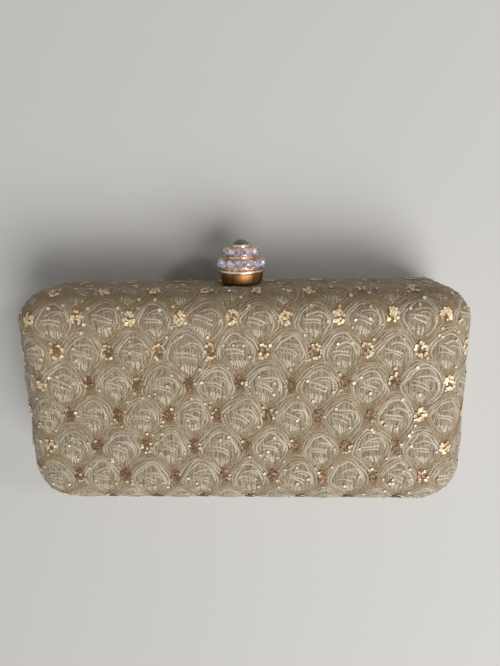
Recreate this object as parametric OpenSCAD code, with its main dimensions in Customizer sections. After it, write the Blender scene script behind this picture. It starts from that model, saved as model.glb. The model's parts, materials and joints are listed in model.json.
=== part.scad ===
// Box clutch (minaudiere) with a push clasp, lying on its back and shut.
// X runs along the width, Y from the hinge edge to the clasp edge, Z from the back face to the front face.
// The origin is the centre of the back face, which the case rests on. All sizes are in millimetres.

/* [Case] */
// Width of the case from end to end
case_w = 190; // [170:1:210]
// Height of the case from the hinge edge to the clasp edge
case_h = 96; // [90:1:110]
// Thickness of the shut case from the back face to the front face
case_t = 48; // [44:1:60]
// Plan radius of the two corners at the clasp edge
clasp_corner_r = 15; // [14:0.5:22]
// Plan radius of the two corners at the hinge edge
hinge_corner_r = 19; // [14:0.5:24]
// Radius that rounds each face into the walls
face_r = 13; // [9:0.5:13.5]

/* [Walls] */
// Thickness of the embroidered cover with its backing
cover_t = 1.2; // [0.8:0.1:1.4]
// Thickness of the moulded shell
shell_t = 1.6; // [1.2:0.1:1.8]
// Thickness of the foam sheet between shell and lining
padding_t = 0.8; // [0.5:0.1:0.9]
// Thickness of the satin lining with its card
lining_t = 0.7; // [0.5:0.1:0.9]
// Glue line between one layer and the next
glue_gap = 0.1; // [0.05:0.05:0.15]

/* [Frame] */
// Thickness of the sheet metal of both frames
frame_t = 0.8; // [0.6:0.1:0.9]
// Width of the flat rim that the two halves meet on
rim_w = 8; // [7:0.5:9]
// Step of the rim's edge behind the surface of the cover
rim_inset = 0.5; // [0.3:0.1:1]
// Depth of the skirt that the rim carries inside the shell
skirt_h = 6; // [4:0.5:7]
// Gap between the two rims when the case is shut
seam_gap = 0.4; // [0.3:0.1:0.6]

/* [Hinges] */
// Distance of each hinge's middle from the end of the case
hinge_inset = 40; // [36:1:60]
// Width of each hinge without its pin heads
hinge_w = 22; // [18:1:28]
// Width of each of the two end knuckles
end_knuckle_w = 5.5; // [4:0.5:6.5]
// Thickness of the hinge leaves
leaf_t = 0.8; // [0.7:0.1:1]
// Radius of the hinge pins
pin_r = 0.9; // [0.7:0.05:0.9]
// Width of the head at each end of a pin
pin_head_w = 0.5; // [0.3:0.1:0.8]

/* [Latch] */
// Distance of the latch pivot behind the seam
pivot_drop = 10.5; // [9.5:0.5:11.5]
// Distance of the lever's mid plane inside the clasp edge of the case
lever_inset = 7.1; // [7:0.1:7.4]
// Thickness of the lever's sheet metal
lever_t = 1.2; // [0.8:0.1:1.2]
// Width of the lever between the bracket's ears
lever_w = 9.6; // [8:0.2:11]
// Width of the lever's tongue, which passes the two rims
tongue_w = 7; // [6:0.2:8]
// Length of the hook's lip over the catch bar
hook_bite = 1; // [0.6:0.1:1]
// Swing of the knob and the lever, in degrees
latch_swing = 6.5; // [5.5:0.5:7]
// Radius of the latch's pivot pin
pivot_r = 0.8; // [0.6:0.05:0.9]

/* [Clasp knob] */
// Radius of the collar at its foot
collar_foot_r = 8.8; // [8:0.1:9.2]
// Radius of the collar at its top
collar_top_r = 9.6; // [9.3:0.1:10.5]
// Height of the collar
collar_h = 4.3; // [3.5:0.1:6]
// Space between the cover and the collar's foot
collar_gap = 0.3; // [0.2:0.05:0.6]
// Radius of the gilt lip under the lower crystals
lip_r = 9.9; // [9.7:0.1:10.6]
// Thickness of the gilt lip
lip_t = 1.5; // [1:0.1:2]
// Number of crystals in the lower tier
lower_stones = 15; // [11:1:16]
// Number of crystals in the upper tier
upper_stones = 12; // [9:1:13]
// Diameter of the lower crystals
lower_stone_d = 3.6; // [3:0.1:3.8]
// Diameter of the upper crystals
upper_stone_d = 3.1; // [2.6:0.1:3.4]
// Radius of the lower crystals' outer ring
lower_tier_r = 10.85; // [10.3:0.05:11.4]
// Radius of the upper crystals' outer ring
upper_tier_r = 8.2; // [7.6:0.05:8.8]
// Radius of the dome on top of the knob
dome_r = 3.7; // [3:0.1:4.2]
// Height of the dome above its bezel
dome_h = 2.3; // [1.6:0.1:3]

/* [Strap eyes] */
// Radius of the hole that a chain's hook goes through
eye_r = 2; // [1.5:0.1:2.5]
// Thickness of the eye's plate
eye_t = 1.2; // [0.8:0.1:1.4]
// Distance of the eyes from the clasp edge of the case
eye_inset = 28; // [24:1:48]

/* [Hidden] */
$fn = 64;

// Every cut runs this far past the piece it cuts.
overrun = 1;
// Clearance between pieces that pass or face each other without touching.
play = 0.3;
// Radial clearance of pins, rivets and screws in their holes.
fit_gap = 0.05;
// Stretches of one wall run this far into each other where they meet.
lap = 0.5;

// Layers, each given as its distance inside the surface of the cover.
shell_off = cover_t + glue_gap;
frame_off = shell_off + shell_t + glue_gap;
lining_off = frame_off + max(frame_t, padding_t) + glue_gap;
cavity_off = lining_off + lining_t;

// Heights above the back face.
seam_z = case_t / 2;
rim_top = seam_z - seam_gap / 2;
rim_z = rim_top - frame_t;
skirt_z = rim_z - skirt_h;
lining_drop = 1;
lining_z = rim_z - lining_drop;

// Hinges. The axis lies on the outer surface of the hinge edge, in the seam.
hinge_x = case_w / 2 - hinge_inset;
knuckle_r = seam_gap / 2 + frame_t + leaf_t;
recess_r = knuckle_r + play + glue_gap;
pin_bore_r = pin_r + fit_gap;
pin_head_r = pin_r + leaf_t / 2;
leaf_l = rim_inset + rim_w;
hinge_rivet_x = 6;
hinge_rivet_y = 6.5;

// Rivets, flush on the rims' meeting faces and domed inside.
rivet_r = 0.8;
rivet_head_r = 1.5;
rivet_head_top_r = 1;
rivet_head_h = 0.6;

// Latch. The lever stands inside the clasp edge and turns about the pivot.
edge_y = case_h / 2;
lever_y = edge_y - lever_inset;
pivot_z = seam_z - pivot_drop;
lever_in_y = lever_y - lever_t / 2;
lever_out_y = lever_y + lever_t / 2;
barrel_r = 1.4;
ear_t = 1;
ear_r = 1.6;
ear_x = lever_w / 2 + play + glue_gap;
foot_l = 4;
web_t = 0.5;
web_h = 7.5;
web_z = pivot_z - ear_r;
web_out_y = edge_y - cavity_off - play;
bracket_in_y = lever_y - ear_r;
bracket_rivet_x = ear_x + ear_t + foot_l / 2;
bracket_rivet_y = (bracket_in_y + web_out_y) / 2;
spring_t = 0.3;
spring_w = 4;
spring_foot_h = 2.4;
spring_reach = 2.4;

// Screw and spacer that carry the knob through the seam.
screw_r = 1.25;
screw_head_r = 2;
screw_head_h = 1.2;
screw_bite = 3.2;
spacer_r = 1.75;
notch_w = 2 * (spacer_r + play);
spacer_drop = lever_inset * sin(latch_swing);
notch_z = seam_z - spacer_r - spacer_drop - play;
front_notch_z = seam_z - spacer_r - play;

// Catch. Its bar lies just inside the rim, under the hook's lip.
catch_t = 1;
catch_bar_w = 2;
catch_w = 21;
catch_edge_y = lever_in_y - screw_head_h - play;
catch_z = case_t - rim_z;
hook_z = catch_z + catch_t + play - glue_gap;
hook_t = 1;
hook_in_y = catch_edge_y - hook_bite;
window_w = tongue_w + 2 * play;
window_y = lever_out_y + (hook_z + hook_t - pivot_z) * sin(latch_swing) + play;
catch_rivet_x = 7.5;
catch_out_y = web_out_y;
catch_rivet_y = catch_out_y - rivet_head_r;

// A crystal's outline, as shares of its diameter from its table inward, and the share outside its drum.
table_r_share = 0.3;
crown_h_share = 0.24;
girdle_h_share = 0.06;
culet_r_share = 0.08;
pavilion_h_share = 0.42;
seated_share = 0.65;
crystal_sides = 8;

// Knob. Heights run outward from the surface of the clasp edge.
collar_wall = 1.2;
collar_base = 1.2;
boss_r = 3;
boss_h = collar_gap + collar_h - play;
lip_z = collar_gap + collar_h;
lower_tier_z = lip_z + lip_t;
stone_ledge = 0.85;
lower_tier_h = stone_ledge + lower_stone_d;
lower_drum_r = lower_tier_r - lower_stone_d * seated_share;
neck_z = lower_tier_z + lower_tier_h;
neck_r = 6.5;
neck_h = 1.3;
upper_tier_z = neck_z + neck_h;
upper_ledge = 0.35;
upper_tier_h = upper_ledge + upper_stone_d;
upper_drum_r = upper_tier_r - upper_stone_d * seated_share;
bezel_z = upper_tier_z + upper_tier_h;
bezel_wall = 0.6;
bezel_h = 1.4;
dome_seat = 0.6;
prong_r = 0.35;

// Strap eyes, riveted under the back rim at both ends.
eye_ring_w = 2;
eye_y = edge_y - eye_inset;
eye_out_x = case_w / 2 - cavity_off - play;
eye_rivet_x = case_w / 2 - rim_inset - rim_w + rivet_head_r + play;
eye_x = case_w / 2 - rim_inset - rim_w - eye_r - eye_ring_w - play;
eye_rivet_y = 2.8;
eye_w = 2 * (eye_rivet_y + rivet_head_r);

cover_colour = [0.70, 0.63, 0.47];
shell_colour = [0.20, 0.19, 0.18];
foam_colour = [0.85, 0.84, 0.80];
satin_colour = [0.63, 0.53, 0.35];
gilt_colour = [0.80, 0.62, 0.33];
steel_colour = [0.62, 0.62, 0.60];
brass_colour = [0.58, 0.40, 0.18];
crystal_colour = [0.86, 0.88, 0.95];
dome_colour = [0.40, 0.39, 0.34];

// Places its children at both corners of one edge: side is 1 at the clasp and -1 at the hinge.
module corner_pair(r, side) {
    for (end = [1, -1])
        scale([end, side, 1])
            translate([case_w / 2 - r, case_h / 2 - r, 0])
                children();
}

// Mirrors its children from the back half to the front half.
module on_front() {
    translate([0, 0, case_t])
        mirror([0, 0, 1])
            children();
}

// Corner of a wall: its section turned by a quarter, with a short straight tab at each end.
module corner_turn() {
    rotate_extrude(angle = 90)
        children();
    rotate([90, 0, 0])
        linear_extrude(lap)
            children();
    translate([-lap, 0, 0])
        rotate([90, 0, 90])
            linear_extrude(lap)
                children();
}

// Plan outline at the given inset, without its four round corners.
module plan_cross(inset) {
    x1 = case_w / 2 - inset;
    y1 = case_h / 2 - inset;
    xc = case_w / 2 - clasp_corner_r;
    yc = case_h / 2 - clasp_corner_r;
    xh = case_w / 2 - hinge_corner_r;
    yh = case_h / 2 - hinge_corner_r;
    polygon([[-xh, -y1], [xh, -y1], [xh, -yh], [x1, -yh], [x1, yc], [xc, yc],
        [xc, y1], [-xc, y1], [-xc, yc], [-x1, yc], [-x1, -yh], [-xh, -yh]]);
}

// Upright solid of the plan outline at the given inset, from one height to another.
module plan_solid(inset, from, to) {
    translate([0, 0, from])
        linear_extrude(to - from)
            plan_cross(inset);
    for (corner = [[clasp_corner_r, 1], [hinge_corner_r, -1]])
        corner_pair(corner[0], corner[1])
            translate([0, 0, from])
                corner_turn()
                    square([corner[0] - inset, to - from]);
}

// Section of a wall and its rounding, outward from the rounding's centre line, with a lap inward.
module wall_profile(inset, top) {
    translate([-lap, inset])
        square([lap, top - inset]);
    translate([0, face_r])
        square([face_r - inset, top - face_r]);
    intersection() {
        translate([0, face_r])
            circle(face_r - inset);
        translate([0, inset])
            square(face_r - inset);
    }
}

// Solid of one half of the case at the given inset, from its face up to the given height.
module half_solid(inset, top) {
    translate([0, 0, inset])
        linear_extrude(top - inset)
            plan_cross(face_r);
    for (end = [1, -1])
        scale([end, 1, 1])
            translate([case_w / 2 - face_r, case_h / 2 - clasp_corner_r, 0])
                rotate([90, 0, 0])
                    linear_extrude(case_h - clasp_corner_r - hinge_corner_r)
                        wall_profile(inset, top);
    for (corner = [[clasp_corner_r, 1], [hinge_corner_r, -1]]) {
        scale([1, corner[1], 1])
            translate([corner[0] - case_w / 2, case_h / 2 - face_r, 0])
                rotate([90, 0, 90])
                    linear_extrude(case_w - 2 * corner[0])
                        wall_profile(inset, top);
        corner_pair(corner[0], corner[1])
            corner_turn() {
                translate([0, inset])
                    square([corner[0] - face_r, top - inset]);
                translate([corner[0] - face_r, 0])
                    wall_profile(inset, top);
            }
    }
}

// One layer of a half, open at the seam.
module layer(inset, thickness, top) {
    difference() {
        half_solid(inset, top);
        half_solid(inset + thickness, top + overrun);
    }
}

// Room for the knuckles, leaves and pins of both hinges.
module hinge_room() {
    for (x = [-hinge_x, hinge_x])
        translate([x, -edge_y, seam_z])
            rotate([0, 90, 0])
                cylinder(r = recess_r, h = hinge_w + 2 * (pin_head_w + play), center = true);
}

// Slots in the walls that the two leaves pass through.
module leaf_room() {
    slot_w = hinge_w + 2 * play;
    for (x = [-hinge_x, hinge_x])
        translate([x - slot_w / 2, -edge_y - overrun, seam_z - knuckle_r - glue_gap])
            cube([slot_w, leaf_l + overrun + play, knuckle_r]);
}

// Notch in the walls at the clasp edge that the knob's spacer moves in.
module spacer_room(bottom) {
    translate([-notch_w / 2, lever_out_y, bottom])
        cube([notch_w, lever_inset + overrun, seam_z - bottom]);
}

// Holes for rivets, through the rim and what lies under it.
module rivet_holes(places) {
    for (p = places)
        translate([p[0], p[1], rim_z - catch_t - eye_t])
            cylinder(r = rivet_r + fit_gap, h = frame_t + catch_t + eye_t + overrun);
}

// Rivets through the rim and a plate of the given thickness under it.
module rivets(places, plate_t) {
    for (p = places)
        translate([p[0], p[1], rim_z - plate_t]) {
            cylinder(r = rivet_r, h = plate_t + frame_t);
            translate([0, 0, -rivet_head_h])
                cylinder(r1 = rivet_head_top_r, r2 = rivet_head_r, h = rivet_head_h);
        }
}

hinge_rivet_places = [for (h = [-hinge_x, hinge_x], s = [-1, 1])
    [h + s * hinge_rivet_x, hinge_rivet_y - edge_y]];
bracket_rivet_places = [for (s = [-1, 1]) [s * bracket_rivet_x, bracket_rivet_y]];
catch_rivet_places = [for (s = [-1, 1]) [s * catch_rivet_x, catch_rivet_y]];
eye_rivet_places = [for (s = [-1, 1], t = [-1, 1]) [s * eye_rivet_x, eye_y + t * eye_rivet_y]];

// The four layers of one half, as the back half has them.
module cover(notch_bottom) {
    color(cover_colour)
        difference() {
            layer(0, cover_t, rim_z);
            hinge_room();
            leaf_room();
            spacer_room(notch_bottom);
        }
}

module shell(notch_bottom) {
    color(shell_colour)
        difference() {
            layer(shell_off, shell_t, rim_z);
            hinge_room();
            leaf_room();
            spacer_room(notch_bottom);
        }
}

module padding() {
    color(foam_colour)
        layer(frame_off, padding_t, skirt_z - glue_gap);
}

module lining(notch_bottom) {
    color(satin_colour)
        difference() {
            layer(lining_off, lining_t, lining_z);
            spacer_room(notch_bottom);
        }
}

// Rim and skirt in one bent sheet, with a window and a notch for the latch.
module frame(notch_bottom, rivet_places) {
    color(gilt_colour)
        difference() {
            union() {
                difference() {
                    plan_solid(rim_inset, rim_z, rim_top);
                    plan_solid(rim_inset + rim_w, rim_z - overrun, rim_top + overrun);
                }
                difference() {
                    plan_solid(frame_off, skirt_z, rim_z + frame_t / 2);
                    plan_solid(frame_off + frame_t, skirt_z - overrun, rim_top + overrun);
                }
            }
            hinge_room();
            difference() {
                leaf_room();
                plan_solid(-overrun, rim_z, rim_top + overrun);
            }
            spacer_room(notch_bottom);
            translate([-window_w / 2, edge_y - rim_inset - rim_w - overrun, rim_z - overrun])
                cube([window_w, window_y - edge_y + rim_inset + rim_w + overrun, frame_t + 2 * overrun]);
            rivet_holes(rivet_places);
        }
}

module back_cover() { cover(notch_z); }
module back_shell() { shell(notch_z); }
module back_padding() { padding(); }
module back_lining() { lining(notch_z); }
module back_frame() {
    frame(notch_z, concat(hinge_rivet_places, bracket_rivet_places, eye_rivet_places));
}

module front_cover() { on_front() cover(front_notch_z); }
module front_shell() { on_front() shell(front_notch_z); }
module front_padding() { on_front() padding(); }
module front_lining() { on_front() lining(front_notch_z); }
module front_frame() {
    on_front() frame(front_notch_z, concat(hinge_rivet_places, catch_rivet_places));
}

// Section of a leaf with its knuckle, with the hinge axis at the origin.
module leaf_profile() {
    difference() {
        union() {
            circle(knuckle_r);
            translate([0, -knuckle_r])
                square([leaf_l, leaf_t]);
        }
        circle(pin_bore_r);
    }
}

// A stretch of the leaf along the hinge, with its knuckle or as a plain strip beside one.
module leaf_stretch(from, to, knuckle) {
    if (knuckle)
        translate([from, 0, 0])
            rotate([90, 0, 90])
                linear_extrude(to - from)
                    leaf_profile();
    else
        translate([from, recess_r, -knuckle_r])
            cube([to - from, leaf_l - recess_r, leaf_t]);
}

// Back leaf, with a knuckle at each end.
module hinge_leaf_back(x) {
    inner = hinge_w / 2 - end_knuckle_w;
    color(gilt_colour)
        difference() {
            translate([x, -edge_y, seam_z]) {
                leaf_stretch(-hinge_w / 2, -inner, true);
                leaf_stretch(-inner, inner, false);
                leaf_stretch(inner, hinge_w / 2, true);
            }
            rivet_holes(hinge_rivet_places);
        }
}

// Front leaf, with one knuckle between the back leaf's two.
module hinge_leaf_front(x) {
    inner = hinge_w / 2 - end_knuckle_w - play;
    color(gilt_colour)
        on_front()
            difference() {
                translate([x, -edge_y, seam_z]) {
                    leaf_stretch(-hinge_w / 2, -inner, false);
                    leaf_stretch(-inner, inner, true);
                    leaf_stretch(inner, hinge_w / 2, false);
                }
                rivet_holes(hinge_rivet_places);
            }
}

module hinge_leaf_back_left() { hinge_leaf_back(-hinge_x); }
module hinge_leaf_back_right() { hinge_leaf_back(hinge_x); }
module hinge_leaf_front_left() { hinge_leaf_front(-hinge_x); }
module hinge_leaf_front_right() { hinge_leaf_front(hinge_x); }

// Pin with a head at each end, turning in the front knuckle.
module hinge_pin(x) {
    color(steel_colour)
        translate([x, -edge_y, seam_z])
            rotate([0, 90, 0]) {
                cylinder(r = pin_r, h = hinge_w + pin_head_w, center = true);
                for (end = [-1, 1])
                    translate([0, 0, end * (hinge_w + pin_head_w) / 2])
                        cylinder(r = pin_head_r, h = pin_head_w, center = true);
            }
}

module hinge_pin_left() { hinge_pin(-hinge_x); }
module hinge_pin_right() { hinge_pin(hinge_x); }

module hinge_rivets_back() { color(gilt_colour) rivets(hinge_rivet_places, leaf_t); }
module hinge_rivets_front() { color(gilt_colour) on_front() rivets(hinge_rivet_places, leaf_t); }
module bracket_rivets() { color(steel_colour) rivets(bracket_rivet_places, ear_t); }
module strap_eye_rivets() { color(gilt_colour) rivets(eye_rivet_places, eye_t); }
module catch_rivets() { color(steel_colour) on_front() rivets(catch_rivet_places, catch_t); }

// One ear of the bracket with its foot under the rim, on the right.
module bracket_side() {
    translate([ear_x, lever_y, pivot_z])
        rotate([0, 90, 0])
            cylinder(r = ear_r, h = ear_t);
    translate([ear_x, bracket_in_y, pivot_z])
        cube([ear_t, 2 * ear_r, rim_z - pivot_z]);
    translate([ear_x, bracket_in_y, rim_z - ear_t])
        cube([ear_t + foot_l, web_out_y - bracket_in_y, ear_t]);
}

// Channel under the back rim: two ears, a web between them and two feet turned outward.
module latch_bracket() {
    color(steel_colour)
        difference() {
            union() {
                bracket_side();
                mirror([1, 0, 0])
                    bracket_side();
                translate([-ear_x - ear_t, lever_y, web_z])
                    difference() {
                        cube([2 * (ear_x + ear_t), web_out_y - lever_y, web_h]);
                        translate([ear_t, -overrun, -overrun])
                            cube([2 * ear_x, web_out_y - lever_y - web_t + overrun, web_h + 2 * overrun]);
                    }
            }
            translate([0, lever_y, pivot_z])
                rotate([0, 90, 0])
                    cylinder(r = pivot_r + fit_gap, h = 2 * (ear_x + ear_t + overrun), center = true);
            rivet_holes(bracket_rivet_places);
        }
}

module latch_pivot_pin() {
    color(steel_colour)
        translate([0, lever_y, pivot_z])
            rotate([0, 90, 0])
                cylinder(r = pivot_r, h = 2 * (ear_x + ear_t + play), center = true);
}

// Flat spring clamped on the web, leaning on the lever to push the hook back over the catch.
module latch_spring() {
    foot_y = web_out_y - web_t;
    foot_z = web_z + web_h - spring_foot_h;
    tip_y = lever_out_y + glue_gap;
    color(steel_colour)
        translate([-spring_w / 2, 0, 0])
            rotate([90, 0, 90])
                linear_extrude(spring_w)
                    polygon([[foot_y, foot_z], [foot_y, foot_z + spring_foot_h],
                        [tip_y + spring_t, foot_z + spring_foot_h + spring_reach],
                        [tip_y, foot_z + spring_foot_h + spring_reach],
                        [foot_y - spring_t, foot_z + spring_foot_h],
                        [foot_y - spring_t, foot_z]]);
}

// Lever: a barrel on the pivot, a plate, and a tongue with the hook at its end.
module latch_lever() {
    top_z = hook_z + hook_t;
    color(steel_colour)
        difference() {
            union() {
                translate([0, lever_y, pivot_z])
                    rotate([0, 90, 0])
                        cylinder(r = barrel_r, h = lever_w, center = true);
                translate([-lever_w / 2, lever_in_y, pivot_z])
                    cube([lever_w, lever_t, notch_z - pivot_z]);
                translate([-tongue_w / 2, lever_in_y, pivot_z])
                    cube([tongue_w, lever_t, top_z - pivot_z]);
                translate([-tongue_w / 2, hook_in_y, hook_z])
                    cube([tongue_w, lever_out_y - hook_in_y, hook_t]);
            }
            translate([0, lever_y, pivot_z])
                rotate([0, 90, 0])
                    cylinder(r = pivot_r + fit_gap, h = lever_w + 2 * overrun, center = true);
            translate([0, lever_y, seam_z])
                rotate([90, 0, 0])
                    cylinder(r = screw_r + fit_gap, h = lever_t + 2 * overrun, center = true);
        }
}

// Catch: a plate on the front rim whose bar crosses the window under the hook.
module catch_plate() {
    color(steel_colour)
        on_front()
            difference() {
                translate([-catch_w / 2, catch_edge_y - catch_bar_w, rim_z - catch_t])
                    cube([catch_w, catch_out_y - catch_edge_y + catch_bar_w, catch_t]);
                translate([-window_w / 2, catch_edge_y, rim_z - catch_t - overrun])
                    cube([window_w, catch_out_y - catch_edge_y + overrun, catch_t + 2 * overrun]);
                rivet_holes(catch_rivet_places);
            }
}

// Eye plate on the right, with its hole inside the rim.
module strap_eye() {
    difference() {
        union() {
            translate([eye_x, eye_y, rim_z - eye_t])
                cylinder(r = eye_r + eye_ring_w, h = eye_t);
            translate([eye_x, eye_y - eye_w / 2, rim_z - eye_t])
                cube([eye_out_x - eye_x, eye_w, eye_t]);
        }
        translate([eye_x, eye_y, rim_z - eye_t - overrun])
            cylinder(r = eye_r, h = eye_t + 2 * overrun);
        rivet_holes(eye_rivet_places);
    }
}

module strap_eye_right() { color(gilt_colour) strap_eye(); }
module strap_eye_left() { color(gilt_colour) mirror([1, 0, 0]) strap_eye(); }

// Turns its children so that up becomes outward from the clasp edge, on the knob's axis.
module on_knob() {
    translate([0, edge_y, seam_z])
        rotate([-90, 0, 0])
            children();
}

module clasp_screw() {
    color(steel_colour)
        on_knob()
            translate([0, 0, -lever_inset - lever_t / 2]) {
                cylinder(r = screw_r, h = lever_inset + lever_t / 2 + collar_gap + screw_bite);
                translate([0, 0, -screw_head_h])
                    cylinder(r = screw_head_r, h = screw_head_h);
            }
}

module clasp_spacer() {
    length = lever_inset - lever_t / 2 + collar_gap;
    color(brass_colour)
        on_knob()
            translate([0, 0, lever_t / 2 - lever_inset])
                difference() {
                    cylinder(r = spacer_r, h = length);
                    translate([0, 0, -overrun])
                        cylinder(r = screw_r + fit_gap, h = length + 2 * overrun);
                }
}

// Flared collar, hollow, with a boss that the screw bites in.
module clasp_collar() {
    color(brass_colour)
        on_knob()
            difference() {
                union() {
                    rotate_extrude()
                        polygon([[0, collar_gap], [collar_foot_r, collar_gap], [collar_top_r, lip_z],
                            [collar_top_r - collar_wall, lip_z],
                            [collar_foot_r - collar_wall, collar_gap + collar_base],
                            [0, collar_gap + collar_base]]);
                    translate([0, 0, collar_gap])
                        cylinder(r = boss_r, h = boss_h - collar_gap);
                }
                translate([0, 0, collar_gap - overrun])
                    cylinder(r = screw_r + fit_gap, h = boss_h + overrun);
            }
}

// One crystal of diameter d, or its seat, with its table at the origin, facing along X.
module crystal(d, grow, sides) {
    rotate([0, -90, 0]) {
        cylinder(r1 = d * table_r_share + grow, r2 = d / 2 + grow, h = d * crown_h_share, $fn = sides);
        translate([0, 0, d * crown_h_share])
            cylinder(r = d / 2 + grow, h = d * girdle_h_share, $fn = sides);
        translate([0, 0, d * (crown_h_share + girdle_h_share)])
            cylinder(r1 = d / 2 + grow, r2 = d * culet_r_share + grow, h = d * pavilion_h_share, $fn = sides);
    }
}

// A ring of crystals facing outward, one of them to the front, with their middles at the given height.
module crystal_ring(count, d, r, height, grow, sides) {
    for (i = [0 : count - 1])
        rotate([0, 0, i * 360 / count - 90])
            translate([r, 0, height])
                crystal(d, grow, sides);
}

// Small posts between the crystals of a ring.
module prongs(count, r, from, to) {
    for (i = [0 : count - 1])
        rotate([0, 0, (i + 1 / 2) * 360 / count - 90])
            translate([r, 0, from])
                cylinder(r = prong_r, h = to - from);
}

lower_stone_z = neck_z - lower_stone_d / 2;
upper_stone_z = bezel_z - upper_stone_d / 2;

// Lip, drum and neck ring that carry the lower crystals.
module clasp_lower_setting() {
    color(gilt_colour)
        on_knob()
            difference() {
                union() {
                    translate([0, 0, lip_z])
                        cylinder(r = lip_r, h = lip_t);
                    translate([0, 0, lower_tier_z])
                        cylinder(r = lower_drum_r, h = lower_tier_h);
                    prongs(lower_stones, lower_drum_r, lower_tier_z, neck_z);
                }
                crystal_ring(lower_stones, lower_stone_d, lower_tier_r, lower_stone_z, fit_gap, $fn);
            }
}

module clasp_lower_crystals() {
    color(crystal_colour)
        on_knob()
            crystal_ring(lower_stones, lower_stone_d, lower_tier_r, lower_stone_z, 0, crystal_sides);
}

// Neck ring and drum that carry the upper crystals.
module clasp_upper_setting() {
    color(gilt_colour)
        on_knob()
            difference() {
                union() {
                    translate([0, 0, neck_z])
                        cylinder(r = neck_r, h = neck_h);
                    translate([0, 0, upper_tier_z])
                        cylinder(r = upper_drum_r, h = upper_tier_h);
                    prongs(upper_stones, upper_drum_r, upper_tier_z, bezel_z);
                }
                crystal_ring(upper_stones, upper_stone_d, upper_tier_r, upper_stone_z, fit_gap, $fn);
            }
}

module clasp_upper_crystals() {
    color(crystal_colour)
        on_knob()
            crystal_ring(upper_stones, upper_stone_d, upper_tier_r, upper_stone_z, 0, crystal_sides);
}

// Ring on top of the upper tier, with a seat for the dome.
module clasp_top_bezel() {
    color(gilt_colour)
        on_knob()
            difference() {
                translate([0, 0, bezel_z])
                    cylinder(r = dome_r + bezel_wall, h = bezel_h);
                translate([0, 0, bezel_z + bezel_h - dome_seat])
                    cylinder(r = dome_r + fit_gap, h = dome_seat + overrun);
            }
}

// Polished dome: a short cylinder in the bezel under a spherical cap.
module clasp_dome() {
    sphere_r = (dome_r * dome_r + dome_h * dome_h) / (2 * dome_h);
    color(dome_colour)
        on_knob()
            translate([0, 0, bezel_z + bezel_h]) {
                translate([0, 0, -dome_seat])
                    cylinder(r = dome_r, h = dome_seat);
                intersection() {
                    translate([0, 0, dome_h - sphere_r])
                        sphere(sphere_r);
                    cylinder(r = dome_r + overrun, h = dome_h + overrun);
                }
            }
}

back_cover();
back_shell();
back_padding();
back_lining();
back_frame();
hinge_leaf_back_left();
hinge_leaf_back_right();
hinge_pin_left();
hinge_pin_right();
hinge_rivets_back();
latch_bracket();
latch_pivot_pin();
latch_spring();
bracket_rivets();
strap_eye_left();
strap_eye_right();
strap_eye_rivets();
front_cover();
front_shell();
front_padding();
front_lining();
front_frame();
hinge_leaf_front_left();
hinge_leaf_front_right();
hinge_rivets_front();
catch_plate();
catch_rivets();
latch_lever();
clasp_screw();
clasp_spacer();
clasp_collar();
clasp_lower_setting();
clasp_lower_crystals();
clasp_upper_setting();
clasp_upper_crystals();
clasp_top_bezel();
clasp_dome();
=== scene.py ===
import json

import bmesh
import bpy
import numpy as np
from bpy.props import FloatProperty, FloatVectorProperty, IntProperty, PointerProperty
from mathutils import Matrix, Vector


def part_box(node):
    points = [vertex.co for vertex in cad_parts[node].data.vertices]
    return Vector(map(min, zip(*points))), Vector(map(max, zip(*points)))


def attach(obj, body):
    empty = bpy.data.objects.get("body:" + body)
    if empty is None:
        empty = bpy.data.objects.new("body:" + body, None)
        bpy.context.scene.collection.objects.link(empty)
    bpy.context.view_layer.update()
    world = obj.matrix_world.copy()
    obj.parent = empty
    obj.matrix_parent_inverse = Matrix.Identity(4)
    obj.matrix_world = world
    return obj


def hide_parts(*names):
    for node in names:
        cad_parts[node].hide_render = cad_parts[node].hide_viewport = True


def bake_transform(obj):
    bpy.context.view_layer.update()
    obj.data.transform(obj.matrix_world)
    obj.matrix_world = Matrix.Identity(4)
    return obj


bl_info = {
    "name": "Minaudiere",
    "version": (1, 0, 0),
    "blender": (4, 5, 0),
    "location": "View3D > Sidebar > Minaudiere",
    "description": "Covers a hard box clutch in cord embroidery, lines it and sets its jewelled clasp",
    "category": "Object",
}

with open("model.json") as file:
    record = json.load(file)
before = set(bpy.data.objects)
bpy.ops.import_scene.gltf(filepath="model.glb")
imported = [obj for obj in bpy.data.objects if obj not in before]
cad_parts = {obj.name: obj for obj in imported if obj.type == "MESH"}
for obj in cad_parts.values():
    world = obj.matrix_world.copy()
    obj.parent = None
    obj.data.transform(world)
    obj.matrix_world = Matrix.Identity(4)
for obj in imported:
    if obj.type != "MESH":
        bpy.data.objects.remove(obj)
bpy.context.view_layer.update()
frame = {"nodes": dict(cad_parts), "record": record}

# One millimetre in the scene's metres. Shapes are worked out in millimetres.
MM = 0.001


def node_box(name):
    """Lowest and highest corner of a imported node, in millimetres."""
    low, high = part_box(name)
    return np.array(low) / MM, np.array(high) / MM


def display_colour(red, green, blue):
    """A colour given in 8 bit display values, as the linear values that shaders take."""
    share = np.array([red, green, blue]) / 255
    linear = np.where(share <= 0.04045, share / 12.92, ((share + 0.055) / 1.055) ** 2.4)
    return tuple(float(value) for value in linear) + (1.0,)


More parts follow.
